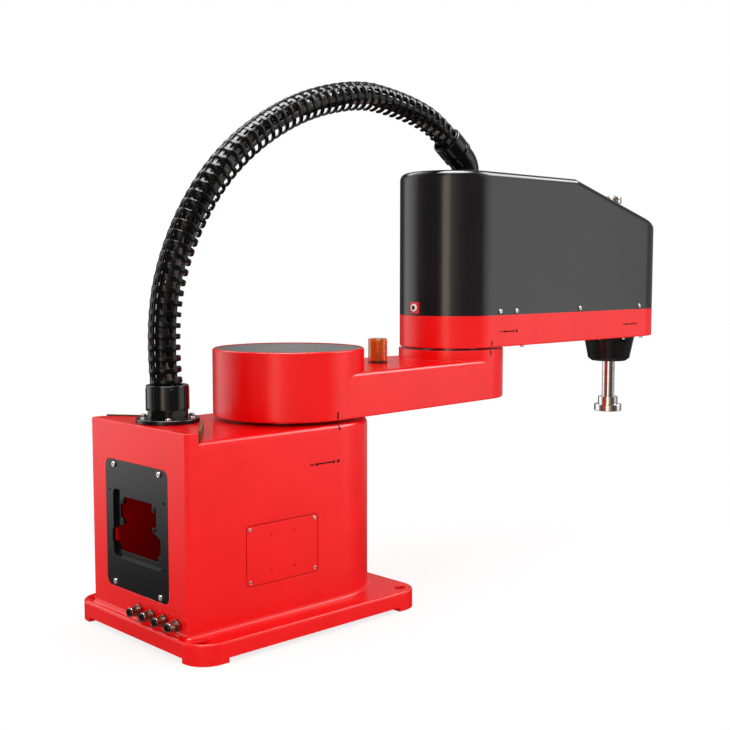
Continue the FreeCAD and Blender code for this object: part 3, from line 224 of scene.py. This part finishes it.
# Beacon lamp
# A dark foot, a lens of amber polycarbonate and the dark lamp core that shows through it.
amber = finish("amber_polycarbonate", "#FFA238", "#FF8A22", 0.06, 0.02, 0.01,
               [(0.004, 0.00001)], Transmission_Weight=0.85, IOR=1.58)
dress(amber, "lamp_lens")
lamp_dark = finish("dark_polycarbonate", "#3A120A", "#2E0E08", 0.34, 0.04, 0.01,
                   [(0.002, 0.00001)])
dress(lamp_dark, "lamp_base")
# The core is a yellow board whose dark parts stand upright on it.
lamp_board = finish("yellow_lamp_board", "#F2A018", "#2A1006", 0.34, 0.04, 0.004,
                    [(0.002, 0.00002)], (1, 1, 0.3))
dress(lamp_board, "lamp_core")

# Second link's cover
# A deep ABS shell with a satin black lacquer, screwed to the red casting along its rim.
# The lacquer has a slight peel, so the soft boxes smear along its rounded edges.
black_lacquer = finish("black_lacquer_on_abs", "#1B191A", "#171516", 0.11, 0.015, 0.08,
                       [(0.005, 0.000008)], edge=0.0006)
dress(black_lacquer, "link2_cover")

# Brake release button
# A square red bezel with a white button, whose middle is painted near-black as the shade of a
# dimple.
red_plastic = finish("red_moulded_abs", "#D8141C", "#CC1018", 0.33, 0.03, 0.01,
                     [(0.002, 0.00001)])
dress(red_plastic, "brake_bezel")
white_plastic = finish("white_moulded_abs", "#F4F2EF", "#E8E6E2", 0.33, 0.03, 0.01,
                       [(0.002, 0.00001)])
button_low, button_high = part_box("brake_button")
button_face = (button_low.x, (button_low.y + button_high.y) / 2,
               (button_low.z + button_high.z) / 2)
dimple_shade_r = 0.0026
dimple_shade_blur = 0.0003
button_tree = white_plastic.node_tree
button_colour = button_tree.nodes["Principled BSDF"].inputs["Base Color"]
place = add(button_tree, "ShaderNodeTexCoord")
reach = add(button_tree, "ShaderNodeVectorMath", {"operation": "DISTANCE", 1: button_face},
            {0: place.outputs["Object"]})
outside = add(button_tree, "ShaderNodeMapRange",
              {1: dimple_shade_r, 2: dimple_shade_r + dimple_shade_blur},
              {0: reach.outputs["Value"]})
# The button's middle is painted near-black as the shade of its dimple.
button_mix = add(button_tree, "ShaderNodeMix", {"data_type": "RGBA", 6: linear("#0C0C0C")},
                 {0: outside.outputs[0], 7: button_colour.links[0].from_socket})
button_tree.links.new(button_mix.outputs[2], button_colour)
dress(white_plastic, "brake_button")

# Drive plate, posts, pulleys and belts in the second link
# Milled aluminium shows fine cutter lines; the belts are black neoprene.
milled = finish("milled_aluminium", "#C8C8CA", "#B4B4B7", 0.34, 0.05, 0.008,
                [(0.001, 0.000012)], (1, 7, 1), Metallic=1.0)
dress(milled, "drive_plate", "drive_posts", "spline_pulley", "ball_nut_pulley",
      "j3_motor_pulley", "j4_motor_pulley")
neoprene = finish("black_neoprene", "#1A1A1A", "#242323", 0.7, 0.08, 0.004, [(0.0012, 0.00004)])
dress(neoprene, "j3_belt", "j4_belt")

# Quill with its tool flange and stop collar
# The hollow quill is hardened and ground; the flange and collar are turned stainless steel.
# Grinding leaves rings round the axis, which pull reflections into upright streaks.
quill_x = (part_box("quill")[0].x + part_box("quill")[1].x) / 2
ring_steel = finish("ground_quill_steel", "#D6D2D2", "#C2BEBE", 0.09, 0.03, 0.02,
                    [(0.0016, 0.000002)], (0.4, 0.4, 8), (quill_x, 0, 0), Metallic=1.0)
dress(ring_steel, "quill")
turned = finish("turned_stainless", "#EEEAE6", "#DAD6D2", 0.16, 0.04, 0.01,
                [(0.0014, 0.000004)], (0.4, 0.4, 8), (quill_x, 0, 0), Metallic=1.0)
dress(turned, "tool_flange", "stop_collar")

# Cone round the quill: black anodised aluminium, turned.
black_anodised = finish("black_anodised_aluminium", "#151515", "#1B1B1A", 0.2, 0.03, 0.02,
                        [(0.0016, 0.000005)], (1, 1, 6), (quill_x, 0, 0))
dress(black_anodised, "bottom_cone")

# Conduit
# A flexible cable conduit of glossy black nylon rings. Angles run round its section from the
# outer side of the bend, towards the far side. Eight ribs tie the rings together and leave
# small windows between them. On the far lower side the rings are open and end as free
# fingers. Three cables run through it. It follows the first link at its middle, so it is two
# pieces that meet there.
conduit_d = 0.032
conduit_wall = 0.0026
ring_pitch = 0.0112
ring_width = 0.0052
ring_crown = 0.0003
crown_share = 0.2
ring_edge = 0.0003
rib_sink = 0.0004
rib_blend = 0.0003
section_step = math.radians(7)
ring_edge_angle = math.radians(50)
smooth_angle = math.radians(40)
# Each rib's middle and half width, on both sides of the section.
ribs = [(math.radians(side * a), math.radians(half)) for side in (-1, 1) for a, half in
        ((8, 4), (29, 8), (53, 8), (97, 8))]
slot = (math.radians(106), math.radians(178))
# The cables are twisted round a line that lies a little below the conduit's own.
cable_d = 0.0068
cable_ring = 0.0041
cable_drop = 0.002
cable_twist = math.radians(300) / 0.1
cable_sides = 10
cable_step = 0.006
# The x and z of the points that pull the curve, fitted to the photo. The pieces meet in the
# run that follows point conduit_split.
conduit_route = [(-0.099, 0.240), (-0.107, 0.310), (-0.0805, 0.400), (-0.0235, 0.4785),
                 (0.0635, 0.535), (0.156, 0.560), (0.216, 0.5545), (0.264, 0.5438),
                 (0.292, 0.5295), (0.3125, 0.5143)]
conduit_split = 4

route_curve = bpy.data.curves.new("conduit_route", "CURVE")
route_curve.dimensions = "3D"
route_spline = route_curve.splines.new("NURBS")
route_spline.points.add(len(conduit_route) - 1)
for control, (x, z) in zip(route_spline.points, conduit_route):
    control.co = (x, 0, z, 1)
route_spline.order_u = 3
route_spline.use_endpoint_u = True
route_spline.resolution_u = 24
route_object = bpy.data.objects.new("conduit_route", route_curve)
route_mesh = bpy.data.meshes.new_from_object(route_object)
route_line = [v.co.copy() for v in route_mesh.vertices]
bpy.data.objects.remove(route_object)
bpy.data.meshes.remove(route_mesh)
route_at = [0.0]
for a, b in zip(route_line, route_line[1:]):
    route_at.append(route_at[-1] + (b - a).length)
split_point = (Vector((conduit_route[conduit_split][0], 0, conduit_route[conduit_split][1]))
               + Vector((conduit_route[conduit_split + 1][0], 0,
                         conduit_route[conduit_split + 1][1]))) / 2
split_index = min(range(len(route_line)), key=lambda i: (route_line[i] - split_point).length)
split_at = route_at[split_index]


def on_route(s):
    """The point of the conduit's line at a length along it, and its direction."""
    i = min(max(bisect.bisect_left(route_at, s), 1), len(route_at) - 1)
    run = route_at[i] - route_at[i - 1]
    share = (s - route_at[i - 1]) / run
    ahead = route_line[min(i + 1, len(route_line) - 1)] - route_line[max(i - 2, 0)]
    return route_line[i - 1].lerp(route_line[i], share), ahead.normalized()


def around():
    """The angles of the conduit's section, with every rib's sides among them."""
    sides = sorted(middle + turn for middle, half in ribs for turn in (-half, half))
    angles = []
    for a, b in zip(sides, sides[1:] + [sides[0] + 2 * math.pi]):
        steps = max(1, round((b - a) / section_step))
        angles += [a + (b - a) * k / steps for k in range(steps)]
    return angles


def is_rib(angle):
    """Whether a rib stands at this angle of the section."""
    turn = (angle + math.pi) % (2 * math.pi) - math.pi
    return any(abs(turn - middle) < half for middle, half in ribs)


def in_slot(angle):
    """Whether the rings are open at this angle of the section."""
    turn = (angle + math.pi) % (2 * math.pi) - math.pi
    return slot[0] < turn < slot[1]


def smooth(mesh):
    """Smooths all but the edges."""
    mesh.polygons.foreach_set("use_smooth", [True] * len(mesh.polygons))
    mesh.set_sharp_from_angle(angle=smooth_angle)


def apply_modifiers(obj):
    """Puts the object's modifiers into its mesh."""
    bpy.context.view_layer.update()
    seen = obj.evaluated_get(bpy.context.evaluated_depsgraph_get())
    mesh = bpy.data.meshes.new_from_object(seen)
    obj.modifiers.clear()
    obj.data = mesh
    smooth(mesh)


def new_object(name, mesh, material):
    made = bpy.data.objects.new(name, mesh)
    bpy.context.scene.collection.objects.link(made)
    made.data.materials.clear()
    made.data.materials.append(material)
    return made


def cable_mesh(bm, s0, s1, phase, jacket):
    """One round cable inside the conduit, as faces with the jacket's material number."""
    steps = round((s1 - s0) / cable_step)
    rows = []
    for k in range(steps + 1):
        s = s0 + (s1 - s0) * k / steps
        middle, ahead = on_route(s)
        outward = Vector((-ahead.z, 0, ahead.x))
        turn = phase + cable_twist * s
        centre = middle + outward * (cable_ring * math.cos(turn) - cable_drop)
        centre += Vector((0, cable_ring * math.sin(turn), 0))
        rows.append([bm.verts.new(centre + outward * (cable_d / 2 * math.cos(a))
                                  + Vector((0, cable_d / 2 * math.sin(a), 0)))
                     for a in (math.radians(360 / cable_sides * i) for i in range(cable_sides))])
    for row, after in zip(rows, rows[1:]):
        for i in range(cable_sides):
            j = (i + 1) % cable_sides
            face = bm.faces.new((row[i], row[j], after[j], after[i]))
            face.material_index = jacket
    for end in (rows[0][::-1], rows[-1]):
        bm.faces.new(end).material_index = jacket


def sleeve(name, s0, s1, closing_ring):
    """The rings, ribs and cables from one length along the route to another."""
    count = max(1, round((s1 - s0) / ring_pitch))
    pitch = (s1 - s0) / count
    # Each station is a length along the route, a radius, and whether a ring follows it.
    stations = []
    for k in range(count):
        start = s0 + k * pitch
        r = conduit_d / 2
        stations += [(start, r - ring_crown, True),
                     (start + ring_width * crown_share, r, True),
                     (start + ring_width * (1 - crown_share), r, True),
                     (start + ring_width, r - ring_crown, False),
                     (start + ring_width + rib_blend, r - rib_sink, False),
                     (start + pitch - rib_blend, r - rib_sink, False)]
    if closing_ring:
        stations[-1] = (s1 - ring_width, conduit_d / 2 - ring_crown, True)
    stations.append((s1, conduit_d / 2 - ring_crown, False))
    angles = around()
    bm = bmesh.new()
    rows = []
    for s, r, _ in stations:
        middle, ahead = on_route(s)
        outward = Vector((-ahead.z, 0, ahead.x))
        rows.append([bm.verts.new(middle + outward * r * math.cos(a)
                                  + Vector((0, r * math.sin(a), 0))) for a in angles])
    for row, after, (_, _, solid) in zip(rows, rows[1:], stations):
        for i, a in enumerate(angles):
            j = (i + 1) % len(angles)
            b = angles[j] + (2 * math.pi if j == 0 else 0)
            if (solid and not in_slot((a + b) / 2)) or is_rib((a + b) / 2):
                bm.faces.new((row[i], row[j], after[j], after[i]))
    bmesh.ops.delete(bm, geom=[v for v in bm.verts if not v.link_faces], context="VERTS")
    bmesh.ops.recalc_face_normals(bm, faces=bm.faces)
    mesh = bpy.data.meshes.new(name)
    bm.to_mesh(mesh)
    bm.free()
    made = new_object(name, mesh, conduit_nylon)
    made.data.materials.append(cable_rubber)
    made.data.materials.append(cable_grey)
    wall = made.modifiers.new("wall", "SOLIDIFY")
    wall.thickness = conduit_wall
    wall.offset = -1
    edge = made.modifiers.new("edge", "BEVEL")
    edge.width = ring_edge
    edge.segments = 1
    edge.limit_method = "ANGLE"
    edge.angle_limit = ring_edge_angle
    apply_modifiers(made)
    bm = bmesh.new()
    bm.from_mesh(made.data)
    for phase, jacket in ((0, 1), (2 * math.pi / 3, 1), (4 * math.pi / 3, 2)):
        cable_mesh(bm, s0, s1, phase, jacket)
    bm.to_mesh(made.data)
    bm.free()
    smooth(made.data)
    return made


# The rings are of a harder, glossier nylon. The cables have dull rubber jackets, one of them
# grey-brown.
conduit_nylon = finish("conduit_nylon", "#060607", "#0B0B0C", 0.13, 0.03, 0.012,
                       [(0.006, 0.00001)], edge=0.0003, Specular_IOR_Level=0.3)
cable_grey = finish("grey_cable_jacket", "#8A7A70", "#7A6C63", 0.45, 0.06, 0.01,
                    [(0.004, 0.00002)])
cable_rubber = finish("cable_jacket", "#0B0B0C", "#111112", 0.45, 0.06, 0.01,
                      [(0.004, 0.00002)])
sleeve_lower = sleeve("conduit_sleeve_lower", 0.0, split_at, False)
sleeve_upper = sleeve("conduit_sleeve_upper", split_at, route_at[-1], True)
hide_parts("conduit_lower")
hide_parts("conduit_upper")
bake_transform(sleeve_lower)
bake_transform(sleeve_upper)

# Alignment and direction marks
# Short lines cut across each joint show its zero position, and a plain arrow with its signs
# shows which way the joint counts. They are engraved and filled with dark ink. The sizes of
# the walls that they lie on are those of the solids, and their places come from the photo.
ink = finish("dark_filled_engraving", "#0C0202", "#140404", 0.6, 0.05, 0.004, [(0.001, 0.00001)],
             edge=0.0001, Specular_IOR_Level=0.15)
ink_stand = 0.00012


def inlay(name, body, polygons, place):
    """Flat polygons in metres, laid on a surface by place(across, up, out)."""
    bm = bmesh.new()
    for polygon in polygons:
        low = [bm.verts.new(place(x, z, -ink_stand)) for x, z in polygon]
        high = [bm.verts.new(place(x, z, ink_stand)) for x, z in polygon]
        bm.faces.new(high)
        bm.faces.new(low[::-1])
        for i in range(len(polygon)):
            j = (i + 1) % len(polygon)
            bm.faces.new((low[i], low[j], high[j], high[i]))
    bmesh.ops.recalc_face_normals(bm, faces=bm.faces)
    mesh = bpy.data.meshes.new(name)
    bm.to_mesh(mesh)
    bm.free()
    made = new_object(name, mesh, ink)
    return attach(made, body)


def bar(x0, x1, z0, z1, steps=1):
    """An upright rectangle, cut into steps across so that it can follow a round wall."""
    edges = [x0 + (x1 - x0) * k / steps for k in range(steps + 1)]
    return [[(a, z0), (b, z0), (b, z1), (a, z1)] for a, b in zip(edges, edges[1:])]


def on_cylinder(axis_x, radius, degrees, height):
    """Lays a mark on an upright round wall."""
    def place(across, up, out):
        turn = math.radians(degrees) + across / radius
        r = radius + out
        return Vector((axis_x + r * math.cos(turn), r * math.sin(turn), height + up))
    return place


def on_top_edge(axis_x, radius, rounding, degrees, top):
    """Lays a mark over the rounded upper edge of an upright wall; up starts at its foot."""
    def place(across, up, out):
        turn = math.radians(degrees) + across / radius
        lean = math.pi / 2 - up / rounding
        r = radius - rounding + (rounding + out) * math.sin(lean)
        return Vector((axis_x + r * math.cos(turn), r * math.sin(turn),
                       top - rounding + (rounding + out) * math.cos(lean)))
    return place


def on_base_side(x, height):
    """Lays a mark on the base's flat near side."""
    def place(across, up, out):
        return Vector((x + across, -base_half_w - out, height + up))
    return place


joint1_x = 0.056
joint2_x = 0.316
base_half_w = 0.085
base_rounding = 0.006
base_top = 0.204
hub_r = 0.0818
boss_r = 0.0645
link2_length = 0.340
link2_r = 0.0634
link2_front_r = 0.0593
taper = math.asin((link2_r - link2_front_r) / link2_length)


def on_link2_side(distance, height):
    """Lays a mark on the second link's near side, that far along from its joint."""
    along = Vector((math.cos(taper), math.sin(taper), 0))
    outward = Vector((math.sin(taper), -math.cos(taper), 0))
    start = Vector((joint2_x, 0, height)) + outward * link2_r + along * distance

    def place(across, up, out):
        return start + along * across + Vector((0, 0, up)) + outward * out
    return place


def arrow_mark(width, height):
    """A line with two heads between a minus and a plus."""
    line = height * 0.22
    half = width / 2
    head = height * 0.5
    head_half = head / 1.4
    reach = half - height * 1.5
    sign = height * 0.7
    sign_half = height * 0.35
    middle = half - sign_half
    shapes = bar(-reach, reach, -line / 2, line / 2, 6)
    shapes += [[(reach, -head_half), (reach + head, 0), (reach, head_half)],
               [(-reach, head_half), (-reach - head, 0), (-reach, -head_half)]]
    shapes += bar(-half, -half + sign, -line / 2, line / 2)
    shapes += bar(half - sign, half, -line / 2, line / 2)
    shapes += bar(middle - line / 2, middle + line / 2, line / 2, sign_half)
    shapes += bar(middle - line / 2, middle + line / 2, -sign_half, -line / 2)
    return shapes


mark_half = 0.001
edge_step = 0.0011
arrow_height = 0.006
link2_arrow_w = 0.034
link2_arrow_z = 0.288
edge_line = [q for k in range(8)
             for q in bar(-mark_half, mark_half, edge_step * k, edge_step * (k + 1))]
inlay("zero_line_joint1_link", "link1", bar(-mark_half, mark_half, 0, 0.0068),
      on_cylinder(joint1_x, hub_r, -91.4, 0.2095))
inlay("zero_line_joint1_base", "base", edge_line,
      on_top_edge(joint1_x, base_half_w, base_rounding, -91.6, base_top))
inlay("zero_line_joint2_link2", "link2", bar(-mark_half, mark_half, 0, 0.0064),
      on_cylinder(joint2_x, link2_r, -86.8, 0.2714))
inlay("zero_line_joint2_link1", "link1", bar(-mark_half, mark_half, 0, 0.0065),
      on_cylinder(joint2_x, boss_r, -89.7, 0.2603))
inlay("turn_mark_joint1", "base", arrow_mark(0.040, arrow_height), on_base_side(0.0335, 0.1665))
inlay("turn_mark_joint2", "link2", arrow_mark(link2_arrow_w, arrow_height),
      on_link2_side(0.035, link2_arrow_z))
inlay("turn_mark_joint4", "link2", arrow_mark(link2_arrow_w, arrow_height),
      on_link2_side(0.301, link2_arrow_z))

# Studio
# A pale floor that keeps the object's shadow and turns into the white background further
# out. The room is white for diffuse light. What shiny surfaces mirror is a ring of bright
# and dark studio panels with a bright ceiling.
floor_size = 6
floor_place = (0.1, 0, -0.0006)
floor_fade = (0.2, 0.7)
floor_white_from = 0.78
floor_mat = bpy.data.materials.new("studio_floor")
floor_mat.use_nodes = True
floor_tree = floor_mat.node_tree
base = floor_tree.nodes["Principled BSDF"]
base.inputs["Base Color"].default_value = linear("#FAFAFA")
base.inputs["Roughness"].default_value = 0.9
ray_kind = add(floor_tree, "ShaderNodeLightPath")
spot = add(floor_tree, "ShaderNodeTexCoord")
away = add(floor_tree, "ShaderNodeVectorMath", {"operation": "LENGTH"}, {0: spot.outputs["Object"]})
fade = add(floor_tree, "ShaderNodeMapRange",
           {1: floor_fade[0], 2: floor_fade[1], 3: floor_white_from,
            "interpolation_type": "SMOOTHSTEP"}, {0: away.outputs["Value"]})
share = add(floor_tree, "ShaderNodeMath", {"operation": "MULTIPLY"},
            {0: fade.outputs[0], 1: ray_kind.outputs["Is Camera Ray"]})
white = add(floor_tree, "ShaderNodeEmission", {"Color": (1, 1, 1, 1), "Strength": 1.0})
paper = add(floor_tree, "ShaderNodeMixShader", {},
            {0: share.outputs[0], 1: base.outputs[0], 2: white.outputs[0]})
clear = add(floor_tree, "ShaderNodeBsdfTransparent")
both = add(floor_tree, "ShaderNodeMixShader", {},
           {0: ray_kind.outputs["Is Glossy Ray"], 1: paper.outputs[0], 2: clear.outputs[0]})
floor_tree.links.new(both.outputs[0], floor_tree.nodes["Material Output"].inputs["Surface"])
bm = bmesh.new()
bmesh.ops.create_grid(bm, x_segments=4, y_segments=4, size=floor_size)
floor_mesh = bpy.data.meshes.new("floor")
bm.to_mesh(floor_mesh)
bm.free()
floor = new_object("floor", floor_mesh, floor_mat)
floor.location = floor_place

# How bright the room is for shiny surfaces, by the compass angle in degrees, and how that
# changes from straight down (-1) over the horizon (0) to straight up (1). Between the
# warm angles the light is that of a warm wall.
panels = [(-180, 0.05), (-168, 0.06), (-160, 0.5), (-154, 2.7), (-145, 2.7), (-138, 0.9),
          (-126, 0.45), (-113, 0.15), (-99, 0.08), (-68, 0.12), (-54, 1.0), (-41, 1.45),
          (-35, 1.3), (-30, 0.8), (-22, 0.3), (5, 0.22), (18, 0.35), (30, 0.4), (46, 0.35),
          (51, 0.4), (57, 0.15), (65, 0.04), (88, 0.15), (98, 1.1), (108, 1.7), (124, 1.6),
          (134, 1.1), (145, 0.3), (163, 0.06), (180, 0.05)]
rises = [(-1.0, 0.3), (-0.6, 0.2), (-0.35, 0.05), (-0.26, 0.05), (-0.2, 0.45), (-0.13, 0.95),
         (-0.08, 1.0), (0.35, 0.9), (0.6, 0.6), (1.0, 0.6)]
# Two soft boxes stand high up, one on the right and a weaker one behind the object.
high_panels = [(-180, 0.0), (-40, 0.0), (-30, 8.0), (-4, 8.0), (6, 0.0), (62, 0.0), (76, 4.0),
               (94, 4.0), (106, 0.0), (180, 0.0)]
high_rises = [(-1.0, 0.0), (0.44, 0.0), (0.56, 1.0), (0.76, 1.0), (0.84, 0.0), (1.0, 0.0)]
warm_wall = (-170, -120)
warm = (1.0, 0.84, 0.7)
# The ceiling shows between these two heights and is this bright; the diffuse light grows
# from the first strength to the second between its own two heights.
ceiling_rise = (0.88, 0.98)
ceiling_level = 16.0
room_rise = (-0.3, 0.9)
room_level = (0.72, 1.05)
world = bpy.data.worlds.new("studio")
bpy.context.scene.world = world
world.use_nodes = True
sky = world.node_tree
sky.nodes.clear()


def ramp(source, low, high, stops):
    """A ramp whose stops are given in the source's own unit, tinted on the warm wall."""
    share = add(sky, "ShaderNodeMapRange", {1: low, 2: high}, {0: source})
    made = add(sky, "ShaderNodeValToRGB", {}, {0: share.outputs[0]})
    elements = made.color_ramp.elements
    elements.remove(elements[1])
    for k, (at, level) in enumerate(stops):
        tint = warm if warm_wall[0] < at < warm_wall[1] else (1, 1, 1)
        stop = elements[0] if k == 0 else elements.new((at - low) / (high - low))
        stop.position = (at - low) / (high - low)
        stop.color = [level * c for c in tint] + [1]
    return made.outputs[0]


aim = add(sky, "ShaderNodeTexCoord")
parts = add(sky, "ShaderNodeSeparateXYZ", {}, {0: aim.outputs["Generated"]})
room = add(sky, "ShaderNodeMapRange",
           {1: room_rise[0], 2: room_rise[1], 3: room_level[0], 4: room_level[1]},
           {0: parts.outputs["Z"]})
compass = add(sky, "ShaderNodeMath", {"operation": "ARCTAN2"},
              {0: parts.outputs["Y"], 1: parts.outputs["X"]})
degrees = add(sky, "ShaderNodeMath", {"operation": "DEGREES"}, {0: compass.outputs[0]})
around_panels = ramp(degrees.outputs[0], -180, 180, panels)
up_panels = ramp(parts.outputs["Z"], -1, 1, rises)
panel_light = add(sky, "ShaderNodeVectorMath", {"operation": "MULTIPLY"},
                  {0: around_panels, 1: up_panels})
high_light = add(sky, "ShaderNodeVectorMath", {"operation": "MULTIPLY"},
                 {0: ramp(degrees.outputs[0], -180, 180, high_panels),
                  1: ramp(parts.outputs["Z"], -1, 1, high_rises)})
ceiling = add(sky, "ShaderNodeMapRange",
              {1: ceiling_rise[0], 2: ceiling_rise[1], 3: 0.0, 4: ceiling_level,
               "interpolation_type": "SMOOTHSTEP"}, {0: parts.outputs["Z"]})
boxes = add(sky, "ShaderNodeVectorMath", {"operation": "ADD"},
            {0: panel_light.outputs[0], 1: high_light.outputs[0]})
mirrored = add(sky, "ShaderNodeVectorMath", {"operation": "ADD"},
               {0: boxes.outputs[0], 1: ceiling.outputs[0]})
ray_kind = add(sky, "ShaderNodeLightPath")
light = add(sky, "ShaderNodeBackground", {"Color": (1, 1, 1, 1)}, {"Strength": room.outputs[0]})
studio = add(sky, "ShaderNodeBackground", {"Strength": 1.0}, {"Color": mirrored.outputs[0]})
backdrop = add(sky, "ShaderNodeBackground", {"Color": (1, 1, 1, 1), "Strength": 1.0})
glossy = add(sky, "ShaderNodeMixShader", {},
             {0: ray_kind.outputs["Is Glossy Ray"], 1: light.outputs[0], 2: studio.outputs[0]})
pick = add(sky, "ShaderNodeMixShader", {},
           {0: ray_kind.outputs["Is Camera Ray"], 1: glossy.outputs[0], 2: backdrop.outputs[0]})
add(sky, "ShaderNodeOutputWorld", {}, {"Surface": pick.outputs[0]})


def soft_box(name, place, towards, size, power):
    """A rectangular lamp of that size and watts, which shiny surfaces don't mirror."""
    lamp = bpy.data.lights.new(name, "AREA")
    lamp.shape = "RECTANGLE"
    lamp.size, lamp.size_y = size
    lamp.energy = power
    holder = bpy.data.objects.new(name, lamp)
    bpy.context.scene.collection.objects.link(holder)
    holder.location = place
    holder.rotation_euler = (Vector(towards) - Vector(place)).to_track_quat("-Z", "Y").to_euler()
    holder.visible_glossy = False


soft_box("top_light", (0.2, -0.3, 2.3), (0.2, 0, 0.2), (2.2, 2.2), 16)
soft_box("front_light", (-0.9, -2.4, 1.3), (0.2, 0, 0.3), (1.6, 1.6), 6)
soft_box("side_light", (2.4, -1.2, 1.0), (0.3, 0, 0.3), (1.2, 1.8), 6)
soft_box("left_light", (-2.0, 0.2, 1.3), (0.1, 0, 0.3), (1.2, 1.6), 1.5)

# The camera is the one fitted to the photo's edges.
camera_place = (-0.71305, -0.93312, 0.36366)
camera_turn = (math.radians(85.06), 0, math.radians(-43.41))
camera_data = bpy.data.cameras.new("camera")
camera_data.sensor_width = 36
camera_data.lens = 55.2
camera_data.shift_y = 0.001
camera_data.clip_start = 0.05
camera_data.clip_end = 50
camera = bpy.data.objects.new("camera", camera_data)
bpy.context.scene.collection.objects.link(camera)
camera.location = camera_place
camera.rotation_euler = camera_turn
bpy.context.scene.camera = camera
bpy.context.scene.view_settings.view_transform = "Standard"
